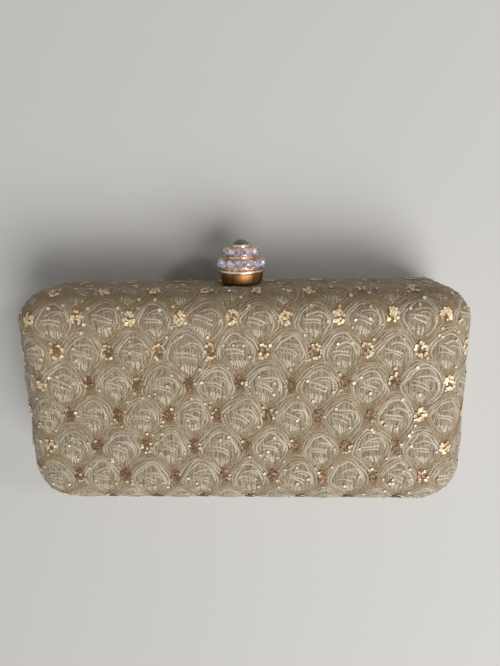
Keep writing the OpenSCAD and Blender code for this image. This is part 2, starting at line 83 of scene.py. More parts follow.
# The case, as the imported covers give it, with the radii that its walls turn in.
HALF_WIDTH, HALF_HEIGHT, CASE_THICKNESS = node_box("front_cover")[1]
FACE_RADIUS = 13.0
CLASP_CORNER_RADIUS = 15.0
HINGE_CORNER_RADIUS = 19.0
SEAM = CASE_THICKNESS / 2
FLAT_X = HALF_WIDTH - FACE_RADIUS
FLAT_Y = HALF_HEIGHT - FACE_RADIUS
CLASP_FLAT_RADIUS = CLASP_CORNER_RADIUS - FACE_RADIUS
HINGE_FLAT_RADIUS = HINGE_CORNER_RADIUS - FACE_RADIUS
ROUNDING_RUN = FACE_RADIUS * np.pi / 2
SEAM_RUN = ROUNDING_RUN + SEAM - FACE_RADIUS
FRONT, BACK = 1, -1
HALVES = {FRONT: "front", BACK: "back"}

# Openings that the fabric leaves at the seam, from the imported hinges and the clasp's spacer.
HINGE_X = float(np.mean([corner[0] for corner in node_box("hinge_leaf_back_right")]))
HINGE_PLAY = 0.6
HINGE_ROOM_WIDTH = node_box("hinge_pin_right")[1][0] - node_box("hinge_pin_right")[0][0] + HINGE_PLAY
HINGE_ROOM_DEPTH = 2.25
SLOT_WIDTH = 4.3
SLOT_DEPTH = {FRONT: 2.1, BACK: 2.9}
SEAM_GAP = 0.16
# Half the distance in which the fabric's edge steps back at an opening.
STEP_AT_OPENING = 0.04

# Where the collar stands: nothing on the fabric rises into its foot.
COLLAR_RADIUS = node_box("clasp_collar")[1][0]
COLLAR_FOOT = 8.8
COLLAR_CLEARANCE = 0.2
TINY = 1e-9


class FabricSettings(bpy.types.PropertyGroup):
    """Sizes and colours of the embroidered covering."""

    motif_pitch: FloatProperty(
        name="Motif pitch", description="Distance from one motif to the next in a row",
        default=0.0211, min=0.01, unit="LENGTH",
    )
    row_pitch: FloatProperty(
        name="Row pitch", description="Distance from one row of motifs to the next",
        default=0.014, min=0.008, unit="LENGTH",
    )
    row_shift: FloatProperty(
        name="Row shift",
        description="How far each row lies short of the middle between two motifs of the row before it",
        default=0.00095, unit="LENGTH",
    )
    cord_width: FloatProperty(
        name="Cord width", description="Width of the embroidery cord",
        default=0.0009, min=0.0002, unit="LENGTH",
    )
    cord_height: FloatProperty(
        name="Cord height", description="Thickness of the embroidery cord across the fabric",
        default=0.00052, min=0.0002, unit="LENGTH",
    )
    relief: FloatProperty(
        name="Relief", description="How far the fabric swells under each motif",
        default=0.00055, min=0, unit="LENGTH",
    )
    ground_colour: FloatVectorProperty(
        name="Ground", description="Colour of the woven ground between the cords",
        subtype="COLOR", size=4, default=display_colour(157, 134, 98),
    )
    ground_shade: FloatVectorProperty(
        name="Ground shade", description="Darker thread of the woven ground",
        subtype="COLOR", size=4, default=display_colour(126, 102, 71),
    )
    body_colour: FloatVectorProperty(
        name="Motif body", description="Colour of the satin stitch that fills the motifs under their cords",
        subtype="COLOR", size=4, default=display_colour(161, 149, 125),
    )
    cord_colour: FloatVectorProperty(
        name="Cord", description="Colour of the silvery cord",
        subtype="COLOR", size=4, default=display_colour(182, 169, 150),
    )
    cord_gold: FloatVectorProperty(
        name="Gold cord", description="Colour that the cord turns to towards the edges of a motif",
        subtype="COLOR", size=4, default=display_colour(150, 129, 97),
    )
    copper: FloatVectorProperty(
        name="Copper", description="Colour of the dark glitter",
        subtype="COLOR", size=4, default=display_colour(121, 92, 64),
    )
    pale_gold: FloatVectorProperty(
        name="Pale gold", description="Colour of the sequins and of the bright glitter",
        subtype="COLOR", size=4, default=display_colour(233, 210, 170),
    )


class ClaspSettings(bpy.types.PropertyGroup):
    """Counts and colours of the push clasp."""

    lower_stones: IntProperty(
        name="Lower crystals", description="Number of crystals in the lower tier",
        default=15, min=6,
    )
    upper_stones: IntProperty(
        name="Upper crystals", description="Number of crystals in the upper tier",
        default=12, min=6,
    )
    lower_stone: FloatProperty(
        name="Lower crystal", description="Diameter of the crystals in the lower tier",
        default=0.0036, unit="LENGTH",
    )
    upper_stone: FloatProperty(
        name="Upper crystal", description="Diameter of the crystals in the upper tier",
        default=0.0031, unit="LENGTH",
    )
    collar_colour: FloatVectorProperty(
        name="Collar", description="Colour of the brown-gold collar",
        subtype="COLOR", size=4, default=display_colour(168, 124, 74),
    )
    lip_colour: FloatVectorProperty(
        name="Lip", description="Colour of the pinkish gilt lip and rings",
        subtype="COLOR", size=4, default=display_colour(230, 203, 182),
    )
    crystal_colour: FloatVectorProperty(
        name="Crystal", description="Tint of the crystals",
        subtype="COLOR", size=4, default=display_colour(232, 232, 246),
    )
    dome_colour: FloatVectorProperty(
        name="Dome", description="Colour of the smoky dome",
        subtype="COLOR", size=4, default=display_colour(112, 108, 92),
    )


class InsideSettings(bpy.types.PropertyGroup):
    """Colours of what the shut case hides."""

    satin: FloatVectorProperty(
        name="Satin", description="Colour of the satin lining",
        subtype="COLOR", size=4, default=display_colour(233, 214, 174),
    )
    gilt: FloatVectorProperty(
        name="Gilt", description="Colour of the frames and hinges",
        subtype="COLOR", size=4, default=display_colour(222, 184, 118),
    )
    steel: FloatVectorProperty(
        name="Steel", description="Colour of the latch and its rivets",
        subtype="COLOR", size=4, default=display_colour(188, 186, 180),
    )


class StageSettings(bpy.types.PropertyGroup):
    """Floor, lamps and camera."""

    floor_colour: FloatVectorProperty(
        name="Floor", description="Colour of the floor",
        subtype="COLOR", size=4, default=display_colour(214, 212, 208),
    )
    key_power: FloatProperty(
        name="Key lamp", description="Power of the large lamp over the hinge edge",
        default=44.0, min=0, unit="POWER",
    )
    side_power: FloatProperty(
        name="Side lamp", description="Power of the small lamp at the right",
        default=2.0, min=0, unit="POWER",
    )
    sky_strength: FloatProperty(
        name="Sky", description="Strength of the even light from all round",
        default=0.13, min=0,
    )
    lens: FloatProperty(
        name="Lens", description="Focal length of the camera, in millimetres on its 36 mm sensor",
        default=27.03, min=1,
    )


# Meshes

# How often a drawn line's corners are cut, and the most of an outline's edge that one corner's cut takes.
CORNER_CUTS = 4
MOST_CUT = 0.48


def make_piece(name, vertices, faces, material, uv=None, tint=None, material_index=None, smooth=True):
    """Makes a piece of vertices in millimetres and arrays of faces, each array with faces of one size.

    uv holds one array of corners for each array of faces, tint one value for each vertex.
    """
    mesh = bpy.data.meshes.new(name)
    mesh.vertices.add(len(vertices))
    mesh.vertices.foreach_set("co", (vertices * MM).astype(np.float32).ravel())
    sizes = np.concatenate([np.full(len(group), group.shape[1]) for group in faces])
    corners = np.concatenate([group.ravel() for group in faces]).astype(np.int32)
    mesh.loops.add(len(corners))
    mesh.loops.foreach_set("vertex_index", corners)
    mesh.polygons.add(len(sizes))
    mesh.polygons.foreach_set("loop_start", (np.cumsum(sizes) - sizes).astype(np.int32))
    mesh.polygons.foreach_set("use_smooth", np.full(len(sizes), smooth))
    if material_index is not None:
        mesh.polygons.foreach_set("material_index", material_index.astype(np.int32))
    if uv is not None:
        layer = mesh.uv_layers.new(name="along")
        layer.data.foreach_set("uv", np.concatenate([group.ravel() for group in uv]).astype(np.float32))
    if tint is not None:
        values = mesh.attributes.new("tint", "FLOAT", "POINT")
        values.data.foreach_set("value", tint.astype(np.float32))
    mesh.update(calc_edges=True)
    if mesh.validate():
        raise RuntimeError(f"{name} has faces that can't be built")
    piece = bpy.data.objects.new(name, mesh)
    bpy.context.scene.collection.objects.link(piece)
    for entry in material if isinstance(material, list) else [material]:
        mesh.materials.append(entry)
    return piece


def grid_faces(rows, columns, close_rows=False, close_columns=False):
    """Quads between neighbours of a grid whose rows, or columns, may close on themselves."""
    number = np.arange(rows * columns).reshape(rows, columns)
    if close_rows:
        number = np.concatenate([number, number[:1]], axis=0)
    if close_columns:
        number = np.concatenate([number, number[:, :1]], axis=1)
    quads = np.stack([number[:-1, :-1], number[1:, :-1], number[1:, 1:], number[:-1, 1:]], axis=-1)
    return quads.reshape(-1, 4)


def smooth_line(points, step):
    """Rounds a line by cutting its corners again and again, and spaces its points evenly."""
    line = np.array(points, float)
    for _ in range(CORNER_CUTS):
        near = line[:-1] * 0.75 + line[1:] * 0.25
        far = line[:-1] * 0.25 + line[1:] * 0.75
        inner = np.stack([near, far], axis=1).reshape(-1, 2)
        line = np.concatenate([line[:1], inner, line[-1:]])
    run = np.concatenate([[0], np.cumsum(np.hypot(*np.diff(line, axis=0).T))])
    places = np.linspace(0, run[-1], max(int(run[-1] / step) + 1, 3))
    return np.stack([np.interp(places, run, line[:, 0]), np.interp(places, run, line[:, 1])], axis=1)


def softened(points, cut, steps=5):
    """Cuts each corner of a closed outline and bridges it with a curve that the corner itself pulls.

    Each bridge runs from a point at the cut's distance before the corner to one behind it, as a
    quadratic curve.
    """
    outline = np.array(points, float)
    before = np.roll(outline, 1, axis=0) - outline
    after = np.roll(outline, -1, axis=0) - outline
    reach = np.minimum(np.hypot(*before.T), np.hypot(*after.T)) * MOST_CUT
    cut = np.minimum(np.full(len(outline), cut) if np.isscalar(cut) else np.array(cut), reach)[:, None]
    start = outline + before / np.hypot(*before.T)[:, None] * cut
    end = outline + after / np.hypot(*after.T)[:, None] * cut
    t = np.linspace(0, 1, steps)[None, :, None]
    curve = (1 - t) ** 2 * start[:, None] + 2 * t * (1 - t) * outline[:, None] + t**2 * end[:, None]
    return curve.reshape(-1, 2)


def on_knob(radius, height, angle):
    """Places of points round the knob's axis, given their distance from it and from the clasp edge."""
    x = radius * np.cos(angle)
    z = SEAM - radius * np.sin(angle)
    return np.stack([x, HALF_HEIGHT + height + 0 * x, z], axis=-1)


def set_round(local, angles):
    """Places copies of a shape round the knob, given out from its axis, across and up along it."""
    out, across, up = local[None, :, 0], local[None, :, 1], local[None, :, 2]
    cos, sin = np.cos(angles)[:, None], np.sin(angles)[:, None]
    x = out * cos - across * sin
    z = SEAM - out * sin - across * cos
    return np.stack([x, HALF_HEIGHT + up + 0 * x, z], axis=-1).reshape(-1, 3)


def copied_faces(faces, step, count):
    """Faces of copies of a shape that has the given number of vertices."""
    return (faces[None] + step * np.arange(count)[:, None, None]).reshape(-1, faces.shape[1])


def studs(outline, segments, distance, height, angles):
    """Closed outlines of radius and rise, turned about lines that point out from the knob's axis."""
    turn = np.linspace(0, 2 * np.pi, segments, endpoint=False)[:, None]
    radius, rise = outline[None, :, 0], outline[None, :, 1]
    out, across = distance + rise + 0 * turn, radius * np.cos(turn)
    local = np.stack([out, across, height + radius * np.sin(turn)], axis=-1)
    faces = grid_faces(segments, len(outline), close_rows=True, close_columns=True)
    return set_round(local.reshape(-1, 3), angles), copied_faces(faces, segments * len(outline), len(angles))


def joined(parts):
    """Several shapes of vertices and faces as one."""
    start = np.cumsum([0] + [len(vertices) for vertices, _ in parts])
    faces = np.concatenate([faces + first for (_, faces), first in zip(parts, start)])
    return np.concatenate([vertices for vertices, _ in parts]), faces


def revolved(outline, segments):
    """Vertices and faces of a closed outline of distances and heights, turned about the knob's axis."""
    angle = np.linspace(0, 2 * np.pi, segments, endpoint=False)[:, None]
    places = on_knob(outline[None, :, 0], outline[None, :, 1], angle)
    faces = grid_faces(segments, len(outline), close_rows=True, close_columns=True)
    return places.reshape(-1, 3), faces


# The fabric laid flat: a point of it is given by where it comes to lie on the unrolled front


def lay(points, height, side):
    """Lays points of the unrolled fabric on one half, that high over the case's surface.

    Inside the flat face's outline a point stays where it is. Beyond it, its distance from the outline
    first turns round the edge in a quarter circle and then runs straight down the wall.
    """
    x, y = points[..., 0], points[..., 1]
    corner = np.where(y > 0, CLASP_FLAT_RADIUS, HINGE_FLAT_RADIUS)
    over_x = np.abs(x) - (FLAT_X - corner)
    over_y = np.abs(y) - (FLAT_Y - corner)
    out = np.hypot(np.maximum(over_x, 0), np.maximum(over_y, 0))
    at_corner = (over_x > 0) & (over_y > 0)
    beyond = np.where(at_corner, out - corner, np.maximum(over_x, over_y) - corner)
    toward_x = np.where(at_corner, over_x / np.maximum(out, TINY), over_x > over_y) * np.sign(x)
    toward_y = np.where(at_corner, over_y / np.maximum(out, TINY), over_x <= over_y) * np.sign(y)
    past = np.maximum(beyond, 0)
    turn = np.minimum(past, ROUNDING_RUN) / FACE_RADIUS
    down = np.maximum(past - ROUNDING_RUN, 0)
    slide = FACE_RADIUS * np.sin(turn) - past
    normal = np.stack([toward_x * np.sin(turn), toward_y * np.sin(turn), np.cos(turn)], axis=-1)
    level = CASE_THICKNESS - FACE_RADIUS * (1 - np.cos(turn)) - down
    place = np.stack([x + toward_x * slide, y + toward_y * slide, level], axis=-1)
    place = place + np.asarray(height)[..., None] * normal
    place[..., 2] = SEAM + side * (place[..., 2] - SEAM)
    normal[..., 2] *= side
    return place, normal, past


def edge_run(points, side, gap=SEAM_GAP):
    """How far the fabric runs past the flat face's outline: nearly to the seam, less at the openings."""
    x, y = points[..., 0], points[..., 1]
    run = np.full(x.shape, SEAM_RUN - gap)
    at_hinge = (y < 0) & (np.abs(np.abs(x) - HINGE_X) < HINGE_ROOM_WIDTH / 2)
    at_slot = (y > 0) & (np.abs(x) < SLOT_WIDTH / 2)
    run = np.where(at_hinge, SEAM_RUN - HINGE_ROOM_DEPTH, run)
    return np.where(at_slot, SEAM_RUN - SLOT_DEPTH[side], run)


def stations(arm_steps, middle_steps, extra=()):
    """Places along one direction of the fabric's grid: along the middle, and out along the arms beside it.

    The first array runs from -1 to 1 over the middle and stays there on the arms, the second from -1
    to 0 and from 0 to 1 over the arms and is 0 in the middle.
    """
    middle = np.unique(np.concatenate([np.linspace(-1, 1, middle_steps + 1), extra]))
    arm = np.linspace(0, 1, arm_steps + 1)[1:]
    along = np.concatenate([np.full(arm_steps, -1.0), middle, np.full(arm_steps, 1.0)])
    out = np.concatenate([-arm[::-1], np.zeros(len(middle)), arm])
    return along, out


def fabric_grid(side, step, edge=None):
    """Points of the unrolled fabric on a grid of rows and columns that runs to the fabric's edge.

    The grid's middle lies between the centres of the four corners. Beside it the rows and columns run
    straight out, and at each corner a square of the grid becomes a quarter of a disc: a point's larger
    coordinate gives its distance from the corner's centre, and the ratio of the two gives its angle.
    """
    clasp_x, clasp_y = FLAT_X - CLASP_FLAT_RADIUS, FLAT_Y - CLASP_FLAT_RADIUS
    hinge_x, hinge_y = FLAT_X - HINGE_FLAT_RADIUS, FLAT_Y - HINGE_FLAT_RADIUS
    room = np.array([HINGE_X - HINGE_ROOM_WIDTH / 2, HINGE_X + HINGE_ROOM_WIDTH / 2])
    nudge = np.array([-STEP_AT_OPENING, STEP_AT_OPENING])
    breaks = np.concatenate([((room[:, None] + nudge) / hinge_x).ravel(), (SLOT_WIDTH / 2 + nudge) / clasp_x])
    arm_steps = int((SEAM_RUN + HINGE_FLAT_RADIUS) / step)
    along_x, out_x = stations(arm_steps, int(2 * clasp_x / step), np.concatenate([-breaks, breaks]))
    along_y, out_y = stations(arm_steps, int((clasp_y + hinge_y) / step))
    along_x, along_y = np.meshgrid(along_x, along_y, indexing="ij")
    out_x, out_y = np.meshgrid(out_x, out_y, indexing="ij")
    centre_x = along_x * ((clasp_x + hinge_x) / 2 + along_y * (clasp_x - hinge_x) / 2)
    centre_y = (clasp_y - hinge_y) / 2 + along_y * (clasp_y + hinge_y) / 2
    corner = FLAT_X - np.abs(centre_x / np.where(along_x == 0, 1, along_x))
    corner = np.where(along_x == 0, np.where(along_y > 0, CLASP_FLAT_RADIUS, HINGE_FLAT_RADIUS), corner)
    place = np.stack([np.where(out_x == 0, centre_x, FLAT_X), out_y], axis=-1)
    run = np.minimum(edge_run(place, side), SEAM_RUN if edge is None else edge)
    more, less = np.maximum(np.abs(out_x), np.abs(out_y)), np.minimum(np.abs(out_x), np.abs(out_y))
    lean = np.pi / 4 * less / np.maximum(more, TINY)
    angle = np.where(np.abs(out_y) > np.abs(out_x), np.pi / 2 - lean, lean)
    reach = more * (corner + run)
    x = centre_x + np.sign(out_x) * reach * np.cos(angle)
    y = centre_y + np.sign(out_y) * reach * np.sin(angle)
    return np.stack([x, y], axis=-1)


def laid_sheet(name, side, step, height, thickness, material, edge=None, tint=None):
    """A layer of one half as a sheet of that thickness, whose outer surface lies at the given height.

    height is a number or a function of the unrolled points, tint a function of them.
    """
    points = fabric_grid(side, step, edge)
    level = height(points) if callable(height) else np.full(points.shape[:-1], height)
    place, _, _ = lay(points, level, side)
    faces = grid_faces(*points.shape[:2])
    if side == BACK:
        faces = faces[:, ::-1]
    flat = points.reshape(-1, 2)
    tint = tint(flat) if tint else None
    piece = make_piece(name, place.reshape(-1, 3), [faces], material, uv=[flat[faces]], tint=tint)
    wall = piece.modifiers.new("thickness", "SOLIDIFY")
    wall.thickness = thickness * MM
    wall.offset = -1
    return piece


# The embroidery's layout. Every place in a motif is given from its centre, in millimetres

# Where the first motif's centre lies on the unrolled front, and on the back, cut from the same cloth.
FIRST_MOTIF = {FRONT: np.array([2.45, -32.5]), BACK: np.array([7.0, -26.0])}
# How the first row of spots lies beside the motifs, as a share of the motif pitch.
SPOT_SHARE = 0.5
SPOT_SIZE = (2.5, 3.2)
BODY_MIDDLE, BODY_SIZE = np.array([-0.2, -1.2]), (7.0, 7.6)
# How steeply the stain of a spot and of a body falls off at its outline.
SPOT_EDGE, BODY_EDGE = 1.5, 2.0
# The bodies fade towards the clasp edge: from where, over what distance, and by how much. Down the clasp's
# edge they fade that much more, as painted shade.
BODY_FADE_START, BODY_FADE_RUN, BODY_FADE = 12, 20, 0.4
# Over what distance the covering darkens down the clasp's edge as painted shade, and how much painted shade,
# in the spots' brown, the ground's tint gains there.
CLASP_SHADE_RUN, CLASP_PAINTED_SHADE = 16, 0.22

# Each line is a share of the cord's width, a share of gold in its colour, and the points that pull it.
DOME_LINES = [
    (
        0.85,
        0.8,
        [(-10.6, 4.5), (-8.4, 5.1), (-5.7, 7.7), (-1.9, 9.6), (1.8, 9.9), (5.2, 8.4), (7.9, 5.5)]
        + [(10.5, 4.4)],
    ),
    (
        0.9,
        0.6,
        [(-9.6, -1.4), (-8.5, 1.4), (-6.6, 4.4), (-4.0, 7.0), (-1.0, 8.6), (1.9, 8.7), (4.6, 7.1), (6.9, 4.4)]
        + [(8.7, 1.3), (9.7, -1.5)],
    ),
    (
        1.0,
        0.4,
        [(-0.7, -11.6), (-2.6, -9.3), (-4.9, -7.0), (-7.2, -4.5), (-8.6, -1.9), (-7.4, 0.9), (-5.5, 3.6)]
        + [(-3.3, 5.9), (-0.7, 7.4), (1.6, 7.5), (4.0, 6.0), (6.0, 3.5), (7.6, 0.7), (8.6, -1.9), (7.2, -4.9)]
        + [(5.2, -7.6), (3.0, -10.0)],
    ),
    (
        1.05,
        0.25,
        [(0.3, -10.4), (-1.7, -8.2), (-3.9, -6.0), (-6.0, -3.8), (-7.2, -1.7), (-6.2, 0.6), (-4.5, 2.9)]
        + [(-2.5, 5.0), (-0.3, 6.3), (1.4, 6.3), (3.4, 4.7), (5.1, 2.5), (6.4, 0.0), (7.0, -2.0), (5.7, -4.8)]
        + [(3.8, -7.3), (1.9, -9.4)],
    ),
    (1.0, 0.42, [(-9.9, -4.0), (-7.8, -6.4), (-5.2, -8.9), (-2.6, -12.0)]),
    (0.85, 0.8, [(9.6, -4.2), (7.3, -6.7), (4.9, -9.2), (2.8, -12.0)]),
]
LEAF_LINES = [
    (1.0, 0.0, [(-6.0, 0.9), (-3.6, 0.5), (-0.6, 0.0), (2.0, -0.8), (4.4, -2.2)]),
    (0.9, 0.1, [(-5.8, -1.7), (-3.3, -1.2), (-0.6, -1.5), (2.0, -2.3), (4.0, -3.7)]),
    (
        0.95,
        0.0,
        [(5.4, -4.2), (5.9, -1.8), (5.5, 0.5), (4.3, 2.3), (2.2, 3.1), (-0.2, 2.8), (-2.2, 1.9)]
        + [(-4.2, 2.0)],
    ),
    (0.85, 0.2, [(4.3, -0.9), (3.9, 0.9), (2.4, 1.8), (0.3, 1.4), (-1.4, 0.9)]),
]
HATCH_X = np.array([-4.3, -3.4, -2.5, -1.6, -0.7, 0.2, 1.1, 2.0, 2.9, 3.8, 4.7])
HATCH_TOP = np.array([-3.0, -2.8, -2.7, -2.7, -2.8, -2.9, -3.2, -3.6, -4.1, -4.6, -5.0])
HATCH_FOOT = np.array([-5.3, -6.2, -7.1, -7.9, -8.8, -9.4, -9.2, -8.6, -7.9, -7.1, -6.3])
HATCH_LEAN = 0.25
HATCH_LINES = [
    (0.95, 0.05, [(x, top), (x - HATCH_LEAN, (top + foot) / 2), (x, foot)])
    for x, top, foot in zip(HATCH_X, HATCH_TOP, HATCH_FOOT)
]
# Short strokes that fan out under the top of the motif's outline.
FAN_MIDDLE, FAN_START, FAN_END = np.array([0.2, -0.9]), 3.7, 5.9
FAN_RADII = np.array([FAN_START, (FAN_START + FAN_END) / 2, FAN_END])
FAN_ANGLES = np.radians([162, 149, 136, 123, 110, 97, 84, 71, 58, 45])
FAN_LINES = [
    (0.9, 0.05, FAN_MIDDLE + FAN_RADII[:, None] * np.array([np.cos(angle), np.sin(angle)]))
    for angle in FAN_ANGLES
]
# Columns and rows of the lattice that are tried, and how far past the fabric a motif's centre may lie.
COLUMNS, ROWS, MOTIF_REACH = np.arange(-12, 13), np.arange(-8, 12), 8
# The power that shapes the rows of stitches between a diamond, 1, and a circle, 2, and the shares of a
# height that count below a motif's centre and above it.
ROUNDNESS = 1.5
EGG_DOWN, EGG_UP = 0.78, 0.95
# How far a motif may stray from its place, turn and grow, and how far its cords swing.
MOTIF_SHIFT, MOTIF_TURN, MOTIF_GROWTH = 0.4, 0.12, 0.06
CORD_SWING = 0.26
# Most of a cord's length by which an end of it falls short.
CORD_TRIM = 0.09
# Distance between a cord's stations, the length of one twist and its shift from line to line, in twists.
LINE_STEP = 0.85
CORD_TWIST, TWIST_SHIFT = 1.1, 0.37
# How much a cord's thickness wanders and scatters, and its share at the ends.
PLUMP_SWING, PLUMP_SCATTER, TIP_SHARE = 0.08, 0.08, 0.5
# How much a cord's height scatters, and how far it falls at the ends.
CORD_LIFT_SCATTER, TIP_FALL = 0.03, 0.2
# Gold in a cord's colour: its scatter from motif to motif, its wandering, and its gain at the clasp edge,
# which is painted shade.
GOLD_SCATTER, GOLD_SWING, CLASP_SHADE_GOLD = 0.13, 0.09, 0.45
# Over how much of the motif's foot the cords turn to gold.
GOLD_FOOT = 5
# Each set of cords: lines, height over the ground, share of gold gained at the motif's foot, and seed.
CORD_SETS = {
    "dome": (DOME_LINES, -0.03, 0.45, 11),
    "leaf": (LEAF_LINES + HATCH_LINES + FAN_LINES, -0.05, 0.0, 23),
}
# How deep the ground lies between the motifs, how much it wanders, and the height of its hem.
GROUND_DEPTH = 0.44
GROUND_WANDER = 0.06
HEM_HEIGHT, HEM_START, HEM_RUN = -0.1, 2.4, 2
# Where the ground begins to sink towards the collar, and over what distance it does.
SINK_START, SINK_RUN = 3, 2
# Distance that everything sewn on keeps from the fabric's edge and from the collar.
EDGE_MARGIN = 0.2


def pattern_basis(fabric):
    """The two steps of the embroidery's lattice: to the next motif and to the next row."""
    pitch, rise, shift = fabric.motif_pitch / MM, fabric.row_pitch / MM, fabric.row_shift / MM
    return np.array([pitch, 0.0]), np.array([pitch / 2 - shift, rise])


def lattice(fabric, side, offset=(0.0, 0.0)):
    """Every point of the embroidery's lattice that may reach the fabric of one half."""
    along, up = pattern_basis(fabric)
    columns, rows = np.meshgrid(COLUMNS, ROWS, indexing="ij")
    points = columns[..., None] * along + rows[..., None] * up
    points = points.reshape(-1, 2) + FIRST_MOTIF[side] + np.array(offset)
    reach = np.array([FLAT_X, FLAT_Y]) + SEAM_RUN + MOTIF_REACH
    return points[(np.abs(points) < reach).all(axis=1)]


def from_collar(points):
    """Distance of points of the cloth from the middle of the collar's foot."""
    return np.hypot(points[..., 0], points[..., 1] - FLAT_Y - SEAM_RUN)


def ground_height(points, fabric, side):
    """Height of the woven ground over the case's surface, swelling in a round dome under each motif.

    The swelling is the sum of three cosines across the lattice, two along its steps and one along
    their sum. Slow waves of other lengths let it wander, it sinks round the collar's foot, and at the
    seam it comes to the height of the hem.
    """
    along, up = pattern_basis(fabric)
    shifted = points - FIRST_MOTIF[side]
    rows = shifted[..., 1] / up[1]
    columns = (shifted[..., 0] - rows * up[0]) / along[0]
    waves = sum(np.cos(2 * np.pi * phase) for phase in (columns, rows, columns + rows))
    swell = fabric.relief / MM * (waves + 1.5) / 4.5
    wander = GROUND_WANDER * np.sin(points[..., 0] / 5.3 + 1.0) * np.sin(points[..., 1] / 4.1)
    sink = np.clip((COLLAR_RADIUS + SINK_START - from_collar(points)) / SINK_RUN, 0, 1)
    height = swell + wander - GROUND_DEPTH - sink * COLLAR_CLEARANCE
    _, _, past = lay(points, np.zeros(points.shape[:-1]), side)
    hem = np.clip((past - SEAM_RUN + HEM_START) / HEM_RUN, 0, 1)
    return height + hem**2 * (3 - 2 * hem) * (HEM_HEIGHT - height)


def from_lattice(shifted, fabric):
    """Offsets of points from the nearest point in the lattice's row below them, and then in the row above."""
    along, up = pattern_basis(fabric)
    for rows in (np.floor(shifted[..., 1] / up[1]), np.ceil(shifted[..., 1] / up[1])):
        across = shifted[..., 0] - rows * up[0]
        yield across - np.round(across / along[0]) * along[0], shifted[..., 1] - rows * up[1]


def oval_share(points, fabric, middle, size, edge):
    """How far points of the cloth lie in ovals that repeat over the lattice: 1 in their middle, 0 outside.

    edge gives how steeply the share falls at the oval's outline, where it is a half.
    """
    share = np.zeros(points.shape[:-1])
    for across, rise in from_lattice(points - middle, fabric):
        away = np.hypot(across / size[0], rise / size[1])
        share = np.maximum(share, np.clip(0.5 + edge * (1 - away), 0, 1))
    return share


def clasp_shade_share(points):
    """How far points of the cloth lie down the clasp's edge: 0 on the flat face, 1 once turned down. It sets
    how much painted shade they get there.
    """
    return np.clip((points[..., 1] - FLAT_Y) / CLASP_SHADE_RUN, 0, 1)


def ground_tint(points, fabric, side):
    """Stain of the ground: 1 in the glitter spots, -1 in the pale body of the motifs, with painted shade
    added down the clasp's edge.
    """
    along, _ = pattern_basis(fabric)
    points = unstrayed(points)
    spots = oval_share(points, fabric, FIRST_MOTIF[side] + SPOT_SHARE * along, SPOT_SIZE, SPOT_EDGE)
    bodies = oval_share(points, fabric, FIRST_MOTIF[side] + BODY_MIDDLE, BODY_SIZE, BODY_EDGE)
    band = np.clip((points[..., 1] - BODY_FADE_START) / BODY_FADE_RUN, 0, 1)
    # Down the clasp's edge the bodies fade further and the ground gains brown: painted shade.
    bodies = bodies * (1 - BODY_FADE * band - BODY_FADE * clasp_shade_share(points))
    return spots - bodies * (1 - spots) + CLASP_PAINTED_SHADE * clasp_shade_share(points)


def ground_course(points, fabric, side):
    """Distance from the nearest motif's centre, so that rows of stitches can follow the motif's outline.

    It is the root of the summed powers of both offsets, with a power between that of a diamond, 1, and
    that of a circle, 2. Below the centre it grows more slowly, which makes the outline an egg.
    """
    nearest = np.full(points.shape[:-1], np.inf)
    for across, rise in from_lattice(unstrayed(points) - FIRST_MOTIF[side], fabric):
        rise = rise * np.where(rise < 0, EGG_DOWN, EGG_UP)
        away = (np.abs(across) ** ROUNDNESS + np.abs(rise) ** ROUNDNESS) ** (1 / ROUNDNESS)
        nearest = np.minimum(nearest, away)
    return nearest


def can_be_sewn(points, side, reach):
    """Whether what is sewn at points, with that reach, lies on one half's fabric and clear of the collar."""
    _, _, past = lay(points, np.zeros(points.shape[:-1]), side)
    within = past < edge_run(points, side, SEAM_GAP + EDGE_MARGIN + reach)
    return within & (from_collar(points) > COLLAR_FOOT + (EDGE_MARGIN + reach))


def strayed(points):
    """Shifts points by slow waves, as cloth strays when it is drawn over a case.

    Each direction has a wave of about 60 mm along the other one, and a slanting one of under half that.
    """
    x, y = points[..., 0], points[..., 1]
    stray_x = 0.28 * np.sin(y / 9.1 + 0.4) + 0.16 * np.sin(x / 6.7 + y / 5.2)
    stray_y = 0.24 * np.sin(x / 10.3 + 1.9) + 0.15 * np.sin(y / 5.9 - x / 7.7)
    return points + np.stack([stray_x, stray_y], axis=-1)


def unstrayed(points):
    """Points shifted back by the waves' value where they lie, which nearly undoes their straying."""
    return 2 * points - strayed(points)


def cord_rings(centreline, normal, width, height, shrink):
    """Four-sided rings of a flattened cord: right, top, left and bottom.

    They lie an ellipse's half axes away from the centre line, across the cord and along the normal.
    """
    forward = np.gradient(centreline, axis=1)
    forward /= np.maximum(np.linalg.norm(forward, axis=-1, keepdims=True), TINY)
    across = np.cross(forward, normal)
    across /= np.maximum(np.linalg.norm(across, axis=-1, keepdims=True), TINY)
    angle = np.arange(4) * np.pi / 2
    half_width = (width / 2 * shrink)[..., None, None] * np.cos(angle)[:, None]
    half_height = (height / 2 * shrink)[..., None, None] * np.sin(angle)[:, None]
    return centreline[..., None, :] + half_width * across[..., None, :] + half_height * normal[..., None, :]


def sewn_motifs(fabric, side):
    """Centres of the motifs of one half, a little off the lattice, and matrices of their turn and growth."""
    rng = np.random.default_rng(5 + side)
    centres = lattice(fabric, side)
    centres = centres + rng.normal(0, MOTIF_SHIFT, centres.shape)
    turn = rng.normal(0, MOTIF_TURN, len(centres))
    growth = 1 + rng.normal(0, MOTIF_GROWTH, len(centres))
    rotation = np.array([[np.cos(turn), -np.sin(turn)], [np.sin(turn), np.cos(turn)]])
    return centres, growth[:, None, None] * rotation.transpose(2, 0, 1)


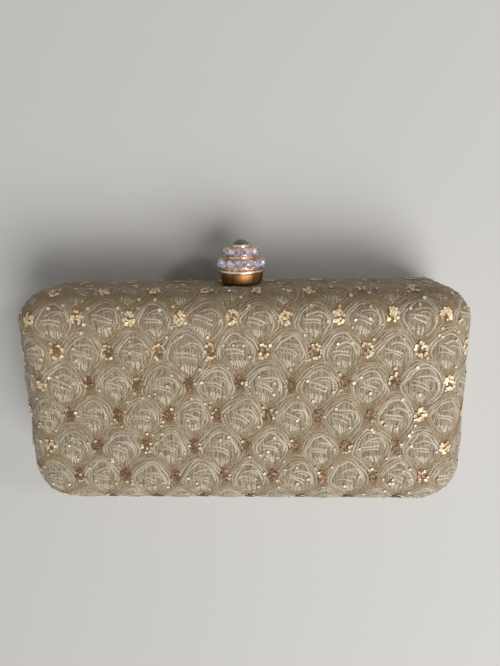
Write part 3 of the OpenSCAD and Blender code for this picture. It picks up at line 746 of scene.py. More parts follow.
def swing(rng, run, count, reach):
    """Smooth offsets along cords, a sum of two sine waves whose phases differ from cord to cord."""
    phase = rng.uniform(0, 2 * np.pi, (2, count, 1))
    return reach * (np.sin(run / 2.7 + phase[0]) + 0.6 * np.sin(run / 1.1 + phase[1]))


def neighbours(kept):
    """Whether the place before each place of a cord is kept, and whether the place after it is."""
    wide = np.pad(kept, ((0, 0), (1, 1)))
    return wide[:, :-2], wide[:, 2:]


def sewn_cords(name, lines, fabric, side, material, rise, foot_gold, seed):
    """Cords sewn along the same lines in every motif of one half, as one piece.

    Each line is repeated in the motifs, laid on the ground and swept as a closed tube. A tube ends,
    narrower, where the fabric does and at the collar's foot. foot_gold is the share of gold that the
    cords gain towards the motif's foot.
    """
    rng = np.random.default_rng(seed)
    centres, matrix = sewn_motifs(fabric, side)
    motifs = len(centres)
    width, height = fabric.cord_width / MM, fabric.cord_height / MM
    corner = np.arange(4)
    vertices, quads, caps, corner_uv, tints = [], [], [], [], []
    count = 0
    for order, (share, gold, line) in enumerate(lines):
        flat = smooth_line(line, LINE_STEP)
        run = np.arange(len(flat)) * LINE_STEP
        points = centres[:, None, :] + np.einsum("mab,kb->mka", matrix, flat)
        shift = [swing(rng, run, motifs, CORD_SWING), swing(rng, run, motifs, CORD_SWING)]
        sewn = strayed(points + np.stack(shift, axis=-1))
        kept = can_be_sewn(sewn, side, width / 2)
        trim = rng.uniform(0, CORD_TRIM * run[-1], (2, motifs, 1))
        kept &= (run >= trim[0]) & (run <= run[-1] - trim[1])
        before, after = neighbours(kept)
        kept &= before | after
        before, after = neighbours(kept)
        tip = kept & ~(before & after)
        plump = 1 + swing(rng, run, motifs, PLUMP_SWING)
        plump = plump + rng.uniform(-PLUMP_SCATTER, PLUMP_SCATTER, (motifs, 1))
        lift = rise + rng.uniform(-CORD_LIFT_SCATTER, CORD_LIFT_SCATTER, (motifs, 1)) - TIP_FALL * tip
        centreline, normal, _ = lay(sewn, ground_height(sewn, fabric, side) + lift, side)
        shrink = np.where(tip, TIP_SHARE, 1.0) * plump
        rings = cord_rings(centreline, normal, width * share, height, shrink)
        number = count + 4 * (np.cumsum(kept.ravel()) - 1).reshape(kept.shape)
        vertices.append(rings[kept].reshape(-1, 3))
        both = kept[:, :-1] & kept[:, 1:]
        here, there = number[:, :-1][both][:, None], number[:, 1:][both][:, None]
        after_it = (corner + 1) % 4
        quads.append(np.stack([here + corner, there + corner, there + after_it, here + after_it], axis=-1))
        twists = run / CORD_TWIST + order * TWIST_SHIFT
        start = np.broadcast_to(twists[:-1], both.shape)[both][:, None]
        end = np.broadcast_to(twists[1:], both.shape)[both][:, None]
        places = [
            np.stack(np.broadcast_arrays(twist + (corner + step) / 4, (corner + step) / 4), axis=-1)
            for twist, step in ((start, 0), (end, 0), (end, 1), (start, 1))
        ]
        corner_uv.append(np.stack(places, axis=-2))
        first, last = number[kept & ~before][:, None], number[kept & ~after][:, None]
        caps.append(np.concatenate([first + corner, last + corner[::-1]]))
        shade = gold + rng.normal(0, GOLD_SCATTER, (motifs, 1)) + swing(rng, run, motifs, GOLD_SWING)
        # Down the clasp's edge the cords turn gold: painted shade.
        shade = shade + CLASP_SHADE_GOLD * clasp_shade_share(sewn) + foot_gold * np.clip(-flat[:, 1] / GOLD_FOOT, 0, 1)
        tints.append(np.repeat(np.clip(shade, 0, 1)[kept], 4))
        count += 4 * int(kept.sum())
    caps = np.concatenate(caps)
    piece = make_piece(
        name,
        np.concatenate(vertices),
        [np.concatenate([group.reshape(-1, 4) for group in quads]), caps],
        material,
        uv=[np.concatenate([group.reshape(-1, 4, 2) for group in corner_uv]), np.zeros((len(caps), 4, 2))],
        tint=np.concatenate(tints),
    )
    mark_cord_edges(piece)
    return piece


def mark_cord_edges(piece):
    """Marks the edges along a cord's left and right as sharp, so that its top shades as one round."""
    ends = np.zeros(2 * len(piece.data.edges), dtype=np.int32)
    piece.data.edges.foreach_get("vertices", ends)
    corner = ends.reshape(-1, 2) % 4
    sharp = piece.data.attributes.new("sharp_edge", "BOOLEAN", "EDGE")
    sharp.data.foreach_set("value", (corner[:, 0] == corner[:, 1]) & (corner[:, 0] % 2 == 0))


def tilted_frames(normal, rng, tilt):
    """Three directions for each small plate: two in its plane, turned at random, and its own normal."""
    helper = np.where(np.abs(normal[:, :1]) > 0.8, [[0.0, 1.0, 0.0]], [[1.0, 0.0, 0.0]])
    first = np.cross(normal, helper)
    first /= np.linalg.norm(first, axis=1, keepdims=True)
    second = np.cross(normal, first)
    up = normal + first * rng.normal(0, tilt, (len(normal), 1))
    up = up + second * rng.normal(0, tilt, (len(normal), 1))
    up /= np.linalg.norm(up, axis=1, keepdims=True)
    spin = rng.uniform(0, 2 * np.pi, (len(normal), 1))
    level = first * np.cos(spin) + second * np.sin(spin)
    level -= up * (level * up).sum(axis=1, keepdims=True)
    level /= np.linalg.norm(level, axis=1, keepdims=True)
    return level, np.cross(up, level), up


def small_plates(name, points, heights, radii, kind, side, material, tint):
    """Many small plates of one kind sewn on one half, each an outline turned about the plate's middle.

    In a filled kind the outline's first and last rings are closed, as in a flake. In the other the
    outline closes on itself round a hole, as in a sequin.
    """
    rng = np.random.default_rng(53 + side)
    segments, outline = kind["segments"], kind["outline"]
    place, normal, _ = lay(points, heights, side)
    level, across, up = tilted_frames(normal, rng, kind["lean"])
    angle = np.linspace(0, 2 * np.pi, segments, endpoint=False)
    radius, rise = outline[:, 0], outline[:, 1]
    flat = np.stack(
        [
            (radius[:, None] * np.cos(angle)).ravel(),
            (radius[:, None] * np.sin(angle)).ravel(),
            np.repeat(rise, segments),
        ]
    )[:, :, None]
    plate = flat[0] * level[:, None] + flat[1] * across[:, None] + flat[2] * up[:, None]
    vertices = (place[:, None] + plate * radii[:, None, None]).reshape(-1, 3)
    each = grid_faces(len(outline), segments, close_rows=not kind["filled"], close_columns=True)[:, ::-1]
    step = len(outline) * segments
    faces = [copied_faces(each, step, len(points))]
    if kind["filled"]:
        ring = np.arange(segments)
        ends = np.stack([ring[::-1], step - segments + ring])
        faces.append(copied_faces(ends, step, len(points)))
    return make_piece(name, vertices, faces, material, tint=np.repeat(tint, step), smooth=False)


# Materials


def blank_material(name):
    """A new material, its node tree and its Principled shader."""
    material = bpy.data.materials.new(name)
    material.use_nodes = True
    return material, material.node_tree, material.node_tree.nodes["Principled BSDF"]


def feed(tree, socket, value):
    """Links another node's output to an input, or sets the input to a plain value."""
    if isinstance(value, bpy.types.NodeSocket):
        tree.links.new(value, socket)
    else:
        socket.default_value = value


def add_node(tree, kind, inputs=None, **settings):
    """Adds a node, sets its properties and feeds its inputs."""
    made = tree.nodes.new(kind)
    for key, value in settings.items():
        setattr(made, key, value)
    for key, value in (inputs or {}).items():
        feed(tree, made.inputs[key], value)
    return made


def object_place(tree):
    """The point of the piece that is shaded, in metres."""
    return add_node(tree, "ShaderNodeTexCoord").outputs["Object"]


def cloth_place(tree):
    """The point of the laid fabric or of the cord that is shaded, from the piece's own map."""
    return add_node(tree, "ShaderNodeUVMap", uv_map="along").outputs["UV"]


def own_value(tree, name):
    """A value that the piece's own points hold."""
    return add_node(tree, "ShaderNodeAttribute", attribute_name=name).outputs["Fac"]


def stretched(tree, place, scale):
    """A place scaled along its three directions, so that a pattern on it is drawn out."""
    return add_node(tree, "ShaderNodeMapping", {"Vector": place, "Scale": scale}).outputs["Vector"]


def noise(tree, place, scale, detail=3.0, roughness=0.55):
    """Cloudy noise between 0 and 1."""
    inputs = {"Vector": place, "Scale": scale, "Detail": detail, "Roughness": roughness}
    return add_node(tree, "ShaderNodeTexNoise", inputs).outputs["Fac"]


def bands(tree, place, period, direction):
    """Even waves across a direction, with the given distance from one to the next.

    The texture's phase is 20 times its scaled place, so the scale is a full turn over 20 periods.
    """
    inputs = {"Vector": place, "Scale": 2 * np.pi / (20 * period), "Distortion": 0.0, "Detail": 0.0}
    made = add_node(tree, "ShaderNodeTexWave", inputs, wave_type="BANDS", bands_direction=direction)
    return made.outputs["Fac"]


def ranged(tree, factor, low, high, start=0.0, end=1.0):
    """Carries a factor from one range of values to another."""
    inputs = {"Value": factor, "From Min": start, "From Max": end, "To Min": low, "To Max": high}
    return add_node(tree, "ShaderNodeMapRange", inputs).outputs["Result"]


def combined(tree, operation, first, second):
    """Two factors, or a factor and a number, joined by an operation."""
    return add_node(tree, "ShaderNodeMath", {0: first, 1: second}, operation=operation).outputs[0]


def weighted(tree, first, first_share, second, second_share):
    """The sum of a share of one factor and a share of another."""
    shares = [combined(tree, "MULTIPLY", *pair) for pair in ((first, first_share), (second, second_share))]
    return combined(tree, "ADD", *shares)


def mixed(tree, factor, first, second, way="MIX"):
    """Two colours mixed by a factor."""
    inputs = {"Fac": factor, "Color1": first, "Color2": second}
    return add_node(tree, "ShaderNodeMixRGB", inputs, blend_type=way).outputs["Color"]


def colour_ramp(tree, factor, stops):
    """A colour for each value of a factor, from stops of place and colour."""
    ramp = add_node(tree, "ShaderNodeValToRGB", {"Fac": factor})
    points = ramp.color_ramp.elements
    points[0].position, points[0].color = stops[0]
    points[1].position, points[1].color = stops[-1]
    for place, colour in stops[1:-1]:
        points.new(place).color = colour
    return ramp.outputs["Color"]


def tone(colour, factor):
    """The same colour, lighter or darker by a factor."""
    return tuple(min(value * factor, 1.0) for value in colour[:3]) + (1.0,)


def toned(colour, *shares):
    """Stops of a colour ramp, from pairs of a place and a factor that makes the colour lighter or darker."""
    return [(place, tone(colour, factor)) for place, factor in shares]


def set_colour(tree, shader, factor, stops):
    """Gives the surface the colour that stops of place and colour hold for a factor."""
    feed(tree, shader.inputs["Base Color"], colour_ramp(tree, factor, stops))


def set_roughness(tree, shader, factor, low, high, start=0.0, end=1.0):
    """Lets the surface's roughness follow a factor between two values."""
    feed(tree, shader.inputs["Roughness"], ranged(tree, factor, low, high, start, end))


def set_finish(shader, **values):
    """Sets the shader's own values, whose names have spaces in place of underscores."""
    for key, value in values.items():
        shader.inputs[key.replace("_", " ")].default_value = value


def raised(tree, shader, height, distance):
    """Lets a factor raise the surface by a small distance, in metres."""
    bump = add_node(tree, "ShaderNodeBump", {"Height": height, "Distance": distance, "Strength": 1.0})
    feed(tree, shader.inputs["Normal"], bump.outputs["Normal"])


# Distances between the ground's threads and between the rows of stitches round a motif, in millimetres.
THREAD_PITCH, STITCH_PITCH = 0.36, 1.15


def ground_cloth(fabric):
    """Tan weave with metal in its thread, satin stitch over the motifs' bodies and brown glitter spots.

    Sine waves of the course make rows of stitches that follow the motifs' outlines between them. The
    tint, which noise frays, lets satin stitch cover the weave in the bodies and stains the spots. Down
    the clasp's edge it also holds painted shade, which browns the ground there.
    """
    material, tree, shader = blank_material("ground_cloth")
    place = cloth_place(tree)
    weave = combined(tree, "MULTIPLY", *(bands(tree, place, THREAD_PITCH, axis) for axis in "XY"))
    cloud = noise(tree, place, 0.9)
    mottle = weighted(tree, weave, 0.25, cloud, 0.9)
    threads = colour_ramp(tree, mottle, [(0.32, fabric.ground_shade), (0.78, fabric.ground_colour)])
    wander = ranged(tree, noise(tree, place, 0.3), -1.2, 1.2)
    course = combined(tree, "ADD", own_value(tree, "course"), wander)
    phase = combined(tree, "MULTIPLY", course, 2 * np.pi / STITCH_PITCH)
    wave = add_node(tree, "ShaderNodeMath", {0: phase}, operation="SINE").outputs[0]
    worn = ranged(tree, cloud, 0.3, 1.0, 0.3, 0.6)
    rows = combined(tree, "MULTIPLY", ranged(tree, wave, 0.0, 1.0, -1.0, 1.0), worn)
    cloth = mixed(tree, combined(tree, "MULTIPLY", rows, 0.4), threads, fabric.body_colour)
    upright = stretched(tree, place, (1.25, 0.16, 1.0))
    stitches = ranged(tree, noise(tree, upright, 1.0, 2.0), 0.0, 1.0, 0.36, 0.64)
    stops = toned(fabric.body_colour, (0.0, 0.48), (0.5, 1.0), (1.0, 1.4))
    satin_stitch = colour_ramp(tree, stitches, stops)
    fray = ranged(tree, noise(tree, place, 1.3), -0.5, 0.5)
    # The tint holds the spots' stain and, down the clasp's edge, painted shade.
    stain_and_shade = combined(tree, "ADD", own_value(tree, "tint"), fray)
    body = mixed(tree, ranged(tree, stain_and_shade, 0.9, 0.0, -1.1, 0.1), cloth, satin_stitch)
    spotted = mixed(tree, ranged(tree, stain_and_shade, 0.0, 1.0, 0.25, 0.85), body, tone(fabric.copper, 1.15))
    feed(tree, shader.inputs["Base Color"], spotted)
    set_roughness(tree, shader, cloud, 0.42, 0.62)
    set_finish(shader, Metallic=0.14, Sheen_Weight=0.15, Sheen_Roughness=0.4, Specular_IOR_Level=0.4)
    pile = weighted(tree, weave, 0.3, stitches, 0.7)
    raised(tree, shader, combined(tree, "ADD", pile, rows), 0.00018)
    return material


def cord_yarn(fabric):
    """Twisted metallic yarn whose tint runs from silvery champagne to gold, with painted shade in the grooves
    of its twist.
    """
    material, tree, shader = blank_material("cord_yarn")
    twist = bands(tree, cloth_place(tree), 1.0, "X")
    shade = ranged(tree, noise(tree, object_place(tree), 230.0), -0.5, 0.5, 0.25, 0.75)
    worn = combined(tree, "ADD", own_value(tree, "tint"), shade)
    stops = toned(fabric.cord_colour, (0.0, 1.2), (0.4, 0.9)) + [(1.0, fabric.cord_gold)]
    # The grooves of the twist are painted darker: painted shade beside the twist's bump.
    groove_shade = colour_ramp(tree, twist, [(0.0, (0.9, 0.87, 0.82, 1.0)), (0.5, (1.0, 1.0, 1.0, 1.0))])
    groove_shaded = mixed(tree, 1.0, colour_ramp(tree, worn, stops), groove_shade, "MULTIPLY")
    feed(tree, shader.inputs["Base Color"], groove_shaded)
    set_finish(shader, Metallic=0.14, Roughness=0.45, Sheen_Weight=0.1, Specular_IOR_Level=0.4)
    raised(tree, shader, twist, 0.00005)
    return material


def glitter_flakes(fabric):
    """Copper glitter, from dark flakes to a few pale gold ones."""
    material, tree, shader = blank_material("glitter_flakes")
    stops = toned(fabric.copper, (0.0, 0.85), (0.5, 1.0), (0.8, 1.7)) + [(1.0, fabric.pale_gold)]
    set_colour(tree, shader, own_value(tree, "tint"), stops)
    set_roughness(tree, shader, noise(tree, object_place(tree), 900.0), 0.34, 0.55)
    set_finish(shader, Metallic=0.3)
    return material


def sequin_film(fabric):
    """Pale gold film with a bright even shine, whose highest tints are near white as painted glints."""
    material, tree, shader = blank_material("sequin_film")
    stops = toned(fabric.pale_gold, (0.0, 0.42), (0.5, 0.8), (0.92, 1.0))
    # Near white at the top of the tints: painted glints.
    stops.append((0.97, display_colour(250, 246, 236)))
    set_colour(tree, shader, own_value(tree, "tint"), stops)
    set_roughness(tree, shader, noise(tree, object_place(tree), 700.0), 0.3, 0.46)
    set_finish(shader, Metallic=0.1, Coat_Weight=0.08, Coat_Roughness=0.15)
    return material


def satin(inside):
    """Satin with fine threads and soft creases across the case, with painted shade darkening the creases."""
    material, tree, shader = blank_material("satin")
    place = cloth_place(tree)
    crease_and_shade = noise(tree, stretched(tree, place, (0.018, 0.1, 1.0)), 1.0, 4.0)
    # The creases are painted darker: painted shade, beside their bump.
    set_colour(tree, shader, crease_and_shade, toned(inside.satin, (0.3, 0.7), (0.7, 1.0)))
    set_roughness(tree, shader, crease_and_shade, 0.28, 0.42)
    set_finish(shader, Sheen_Weight=0.35, Sheen_Roughness=0.35, Anisotropic=0.6, Specular_IOR_Level=0.7)
    threads = combined(tree, "MULTIPLY", bands(tree, place, 0.25, "Y"), 0.08)
    raised(tree, shader, combined(tree, "ADD", threads, crease_and_shade), 0.0006)
    return material


def foam_sheet():
    """Open foam with fine cells, with painted shade darkening their pits."""
    material, tree, shader = blank_material("foam_sheet")
    inputs = {"Vector": object_place(tree), "Scale": 1400.0}
    cells = add_node(tree, "ShaderNodeTexVoronoi", inputs).outputs["Distance"]
    stops = [(0.0, display_colour(186, 182, 168)), (0.6, display_colour(230, 226, 212))]
    # The cells' pits are painted darker: painted shade in the hollows.
    set_colour(tree, shader, cells, stops)
    set_finish(shader, Roughness=0.9)
    raised(tree, shader, cells, 0.0002)
    return material


def moulded_board():
    """Dark moulded shell with a dull, slightly mottled face."""
    material, tree, shader = blank_material("moulded_board")
    mottle = noise(tree, object_place(tree), 180.0, 5.0)
    set_colour(tree, shader, mottle, [(0.3, display_colour(44, 42, 40)), (0.75, display_colour(66, 63, 60))])
    set_roughness(tree, shader, mottle, 0.5, 0.75)
    raised(tree, shader, mottle, 0.00005)
    return material


def plated(name, colour, smooth, rough, dull=0.8):
    """Plated metal whose shine is broken by faint smudges and whose plating is dull in places."""
    material, tree, shader = blank_material(name)
    place = object_place(tree)
    smudge = noise(tree, place, 90.0, 4.0)
    set_colour(tree, shader, smudge, toned(colour, (0.3, dull), (0.62, 1.0)))
    set_roughness(tree, shader, smudge, smooth, rough, 0.3, 0.7)
    set_finish(shader, Metallic=1.0)
    raised(tree, shader, noise(tree, place, 1500.0, 2.0), 0.000004)
    return material


def drawn_metal(name, scale, detail, stops, smooth, rough, depth):
    """Metal whose colour, roughness and height follow noise that is drawn out along one direction."""
    material, tree, shader = blank_material(name)
    streak = noise(tree, stretched(tree, object_place(tree), scale), 1.0, detail)
    set_colour(tree, shader, streak, stops)
    set_roughness(tree, shader, streak, smooth, rough)
    set_finish(shader, Metallic=1.0)
    raised(tree, shader, streak, depth)
    return material


def brass_streaks_and_reflections(clasp):
    """Brown-gold plate with soft streaks that run up the collar from its foot: in roughness and bump they are
    the plate's own, and their dark colour is painted reflection.
    """
    # The dark streaks of the colour are painted reflections.
    stops = toned(clasp.collar_colour, (0.38, 0.5), (0.6, 1.15))
    return drawn_metal("brass_streaks_and_reflections", (260.0, 12.0, 260.0), 3.0, stops, 0.36, 0.52, 0.00002)


def brushed_steel(inside):
    """Plated steel sheet, brushed along the case's width."""
    stops = toned(inside.steel, (0.25, 0.75), (0.75, 1.0))
    return drawn_metal("brushed_steel", (40.0, 900.0, 900.0), 2.0, stops, 0.25, 0.42, 0.00001)


def cut_crystal(clasp):
    """Clear lead glass of a crystal's crown."""
    material, tree, shader = blank_material("cut_crystal")
    cloud = noise(tree, object_place(tree), 500.0, 1.0)
    set_colour(tree, shader, cloud, toned(clasp.crystal_colour, (0.3, 0.93), (0.7, 1.0)))
    set_finish(shader, Transmission_Weight=0.94, Roughness=0.02, IOR=1.62)
    return material


def crystal_foil(clasp):
    """Silvered back of a crystal, a little uneven."""
    material, tree, shader = blank_material("crystal_foil")
    cloud = noise(tree, object_place(tree), 900.0, 2.0)
    set_colour(tree, shader, cloud, toned(clasp.crystal_colour, (0.35, 0.45), (0.6, 1.0)))
    set_roughness(tree, shader, cloud, 0.06, 0.16)
    set_finish(shader, Metallic=0.4)
    return material


def smoky_stone(clasp):
    """Polished smoky stone with faint clouds inside."""
    material, tree, shader = blank_material("smoky_stone")
    cloud = noise(tree, object_place(tree), 260.0, 3.0)
    set_colour(tree, shader, cloud, toned(clasp.dome_colour, (0.3, 0.55), (0.7, 1.0)))
    set_finish(shader, Roughness=0.12, Transmission_Weight=0.25, IOR=1.54)
    set_finish(shader, Coat_Weight=0.8, Coat_Roughness=0.03)
    return material


def finish_node(name, material):
    """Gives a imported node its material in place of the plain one."""
    slots = frame["nodes"][name].data.materials
    slots.clear()
    slots.append(material)


def settle(piece, body, replaced=()):
    """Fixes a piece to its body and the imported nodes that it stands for."""
    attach(piece, body)
    if replaced:
        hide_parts(*replaced)
    return piece


# Operators

# Steps of the grids that the covering and the linings are worked out on, and the covering's thickness.
FABRIC_STEP, LINING_STEP = 1.0, 2.0
FABRIC_THICKNESS = 0.6
# Each layer inside: how far under the case's surface it lies, its thickness and its slot.
INNER_LAYERS = {"lining": (3.9, 0.7, "satin_lining"), "padding": (3.0, 0.8, "foam")}


class MINAUDIERE_OT_fabric(bpy.types.Operator):
    """Draws the woven ground over the outside of both halves"""

    bl_idname = "minaudiere.fabric"
    bl_label = "Ground fabric"

    def execute(self, context):
        fabric = context.scene.minaudiere_fabric
        material = ground_cloth(fabric)
        for side, half in HALVES.items():
            piece = laid_sheet(
                f"{half}_fabric",
                side,
                FABRIC_STEP,
                lambda points: ground_height(points, fabric, side),
                FABRIC_THICKNESS,
                material,
                tint=lambda points: ground_tint(points, fabric, side),
            )
            flat = fabric_grid(side, FABRIC_STEP).reshape(-1, 2)
            course = piece.data.attributes.new("course", "FLOAT", "POINT")
            course.data.foreach_set("value", ground_course(flat, fabric, side))
            settle(piece, f"{half}_half", [f"{half}_cover"])
        return {"FINISHED"}


class MINAUDIERE_OT_embroidery(bpy.types.Operator):
    """Sews the cords of every motif on both halves"""

    bl_idname = "minaudiere.embroidery"
    bl_label = "Cord embroidery"

    def execute(self, context):
        fabric = context.scene.minaudiere_fabric
        material = cord_yarn(fabric)
        for side, half in HALVES.items():
            for kind, (lines, rise, foot_gold, seed) in CORD_SETS.items():
                name = f"{half}_{kind}_cords"
                piece = sewn_cords(name, lines, fabric, side, material, rise, foot_gold, seed + side)
                settle(piece, f"{half}_half")
        return {"FINISHED"}


# The small plates. Outlines are shares of a plate's radius, radii and lifts are in millimetres.
FLAKE = {
    "outline": np.array([[1.0, -0.1], [1.0, 0.1]]),
    "segments": 7,
    "filled": True,
    "radii": (0.45, 0.75),
    "lean": 0.12,
}
SEQUIN = {
    "outline": np.array([[1.0, -0.04], [0.9, 0.1], [0.12, 0.04], [0.12, -0.1]]),
    "segments": 8,
    "filled": False,
    "radii": (0.52, 0.8),
    "lean": 0.1,
}
# How far flakes, sequins in rings and single sequins lie over the ground, and how much that scatters.
FLAKE_LIFT, RING_LIFT, SINGLE_LIFT, LIFT_SCATTER = 0.14, 0.3, 0.4, 0.14
# How far a spot strays, how much of its oval the flakes fill, and how their tints scatter.
SPOT_SHIFT, SPOT_FILL, FLAKE_TINTS = 0.25, 0.92, (1.5, 3.2)
# Spots brighten towards the clasp and towards both ends: from where, and over what distance.
BRIGHT_CLASP, BRIGHT_ENDS = (20, 14), (70, 12)
BRIGHT_SCATTER, BRIGHT_GAIN = 0.16, (0.65, 1.1)
# The open ring of sequins round a spot: its half axes, the turn from one to the next and its scatter.
RING_SIZE, RING_TURN, RING_SCATTER = (2.35, 2.9), 0.56, 0.12
# How full a ring is, in a band across the front and outside it.
RING_BAND, RING_BAND_WIDTH, RING_BAND_SHARE = 24, 9, 0.75
RING_LEAST, RING_SHARES = 0.6, (-0.1, 0.25)
# Tints of the sequins in a ring, what bright spots add to them, and tints of the single ones. The highest
# tints are near white, painted glints.
RING_TINTS, RING_BRIGHT, SINGLE_TINTS = (0.25, 0.9), 0.4, (0.5, 1)


class MINAUDIERE_OT_glitter(bpy.types.Operator):
    """Scatters the copper glitter in its spots, and the pale sequins beside them"""

    bl_idname = "minaudiere.glitter"
    bl_label = "Glitter and sequins"

    flakes: IntProperty(name="Flakes", description="Flakes of glitter in a spot", default=24, min=1)
    arc: IntProperty(name="Arc", description="Most sequins in the open ring round a spot", default=9, min=1)
    singles: IntProperty(name="Singles", description="Single sequins to a motif", default=5, min=0)

    def execute(self, context):
        fabric = context.scene.minaudiere_fabric
        flake_material, sequin_material = glitter_flakes(fabric), sequin_film(fabric)
        for side, half in HALVES.items():
            rng = np.random.default_rng(41 + side)
            spots = lattice(fabric, side, (SPOT_SHARE * fabric.motif_pitch / MM, 0))
            spots = spots + rng.normal(0, SPOT_SHIFT, spots.shape)
            bright = np.clip((spots[:, 1] - BRIGHT_CLASP[0]) / BRIGHT_CLASP[1], 0, 1)
            bright = bright + np.clip((np.abs(spots[:, 0]) - BRIGHT_ENDS[0]) / BRIGHT_ENDS[1], 0, 1)
            bright = np.clip(bright + rng.normal(0.0, BRIGHT_SCATTER, len(spots)), 0, 1)[:, None]
            flakes = self.scattered_flakes(rng, spots, bright)
            sequins = self.scattered_sequins(rng, spots, bright, fabric)
            for name, kind, material, (points, tint, lift) in (
                ("glitter", FLAKE, flake_material, flakes),
                ("sequins", SEQUIN, sequin_material, sequins),
            ):
                sewn = can_be_sewn(points, side, kind["radii"][1])
                lift = (lift + rng.uniform(0, LIFT_SCATTER, len(points)))[sewn]
                points, tint = points[sewn], np.clip(tint, 0, 1)[sewn]
                radii = rng.uniform(*kind["radii"], len(points))
                heights = ground_height(points, fabric, side) + lift
                piece = small_plates(f"{half}_{name}", points, heights, radii, kind, side, material, tint)
                settle(piece, f"{half}_half")
        return {"FINISHED"}

    def scattered_flakes(self, rng, spots, bright):
        """Places, tints and lifts of the flakes, scattered evenly over the oval of each spot."""
        spread = np.sqrt(rng.uniform(0, 1, (len(spots), self.flakes)))
        angle = rng.uniform(0, 2 * np.pi, spread.shape)
        offset = np.stack([spread * np.cos(angle), spread * np.sin(angle)], axis=-1) * SPOT_SIZE
        tint = rng.beta(*FLAKE_TINTS, spread.shape) + bright * rng.uniform(*BRIGHT_GAIN, spread.shape)
        return strayed((spots[:, None] + offset * SPOT_FILL).reshape(-1, 2)), tint.ravel(), FLAKE_LIFT

    def scattered_sequins(self, rng, spots, bright, fabric):
        """Places, tints and lifts of the sequins: an open ring round each spot, and single ones anywhere."""
        link = np.arange(self.arc)
        turn = rng.uniform(0, 2 * np.pi, (len(spots), 1)) + RING_TURN * link
        turn = turn + rng.normal(0, RING_SCATTER, (len(spots), self.arc))
        ring = np.stack([np.cos(turn), np.sin(turn)], axis=-1) * RING_SIZE
        in_band = np.exp(-(((spots[:, 1:] - RING_BAND) / RING_BAND_WIDTH) ** 2))
        wanted = rng.uniform(*RING_SHARES, (len(spots), 1)) + RING_BAND_SHARE * in_band
        kept = link < RING_LEAST + wanted * self.arc
        rings = (spots[:, None] + ring)[kept]
        ring_tint = (rng.uniform(*RING_TINTS, kept.shape) + RING_BRIGHT * bright)[kept]
        cells = rng.uniform(-0.5, 0.5, (len(spots), self.singles, 2)) @ np.array(pattern_basis(fabric))
        singles = (spots[:, None] + cells).reshape(-1, 2)
        tint = np.concatenate([ring_tint, rng.uniform(*SINGLE_TINTS, len(singles))])
        lift = np.repeat([RING_LIFT, SINGLE_LIFT], [len(rings), len(singles)])
        return strayed(np.concatenate([rings, singles])), tint, lift


class MINAUDIERE_OT_lining(bpy.types.Operator):
    """Lines both halves with satin over a thin sheet of foam"""

    bl_idname = "minaudiere.lining"
    bl_label = "Lining and foam"

    def execute(self, context):
        materials = {"lining": satin(context.scene.minaudiere_inside), "padding": foam_sheet()}
        for side, half in HALVES.items():
            for name, (inset, thickness, slot) in INNER_LAYERS.items():
                _, high = node_box(f"back_{name}")
                edge = SEAM_RUN - (SEAM - high[2])
                piece = laid_sheet(
                    f"{half}_{name}_cloth", side, LINING_STEP, -inset, thickness, materials[name], edge=edge
                )
                settle(piece, f"{half}_half", [f"{half}_{name}"])
        return {"FINISHED"}


class MINAUDIERE_OT_hard_parts(bpy.types.Operator):
    """Finishes the shells, frames, hinges, strap eyes and latch"""

    bl_idname = "minaudiere.hard_parts"
    bl_label = "Shells, frames and latch"

    def execute(self, context):
        inside = context.scene.minaudiere_inside
        board, steel = moulded_board(), brushed_steel(inside)
        gilt = plated("gilt_plate", inside.gilt, 0.3, 0.42, 0.92)
        by_slot = {"moulded_shell": board, "gilt_metal": gilt, "hardware_steel": steel, "aged_brass": gilt}
        for entry in frame["record"]["subparts"]:
            if entry["material_slot"] in by_slot:
                finish_node(entry["node"], by_slot[entry["material_slot"]])
        return {"FINISHED"}


# Stations along the leaf spring.
SPRING_STATIONS = 25


class MINAUDIERE_OT_latch_spring(bpy.types.Operator):
    """Bends the leaf spring that pushes the latch back"""

    bl_idname = "minaudiere.latch_spring"
    bl_label = "Latch spring"

    sheet: FloatProperty(
        name="Sheet", description="Thickness of the spring's sheet", default=0.0003, min=0.0001, unit="LENGTH"
    )

    def execute(self, context):
        """Sweeps a flat section up the clamped foot and along a quarter of a parabola to the lever."""
        low, high = node_box("latch_spring")
        sheet, foot_top = self.sheet / MM, (low[2] + high[2]) / 2
        z = np.linspace(low[2], high[2], SPRING_STATIONS)[:, None]
        lean = np.clip((z - foot_top) / (high[2] - foot_top), 0, 1) ** 2
        y = high[1] - (high[1] - sheet - low[1]) * lean - np.array([sheet, sheet, 0, 0])
        x = np.array([low[0], high[0], high[0], low[0]])
        vertices = np.stack(np.broadcast_arrays(x, y, z), axis=-1).reshape(-1, 3)
        section = np.arange(4)
        ends = np.stack([section, len(vertices) - 1 - section])
        faces = [grid_faces(len(z), 4, close_columns=True)[:, ::-1], ends[:, ::-1]]
        material = brushed_steel(context.scene.minaudiere_inside)
        piece = make_piece("latch_leaf_spring", vertices, faces, material, smooth=False)
        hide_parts("latch_spring")
        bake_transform(piece)
        return {"FINISHED"}


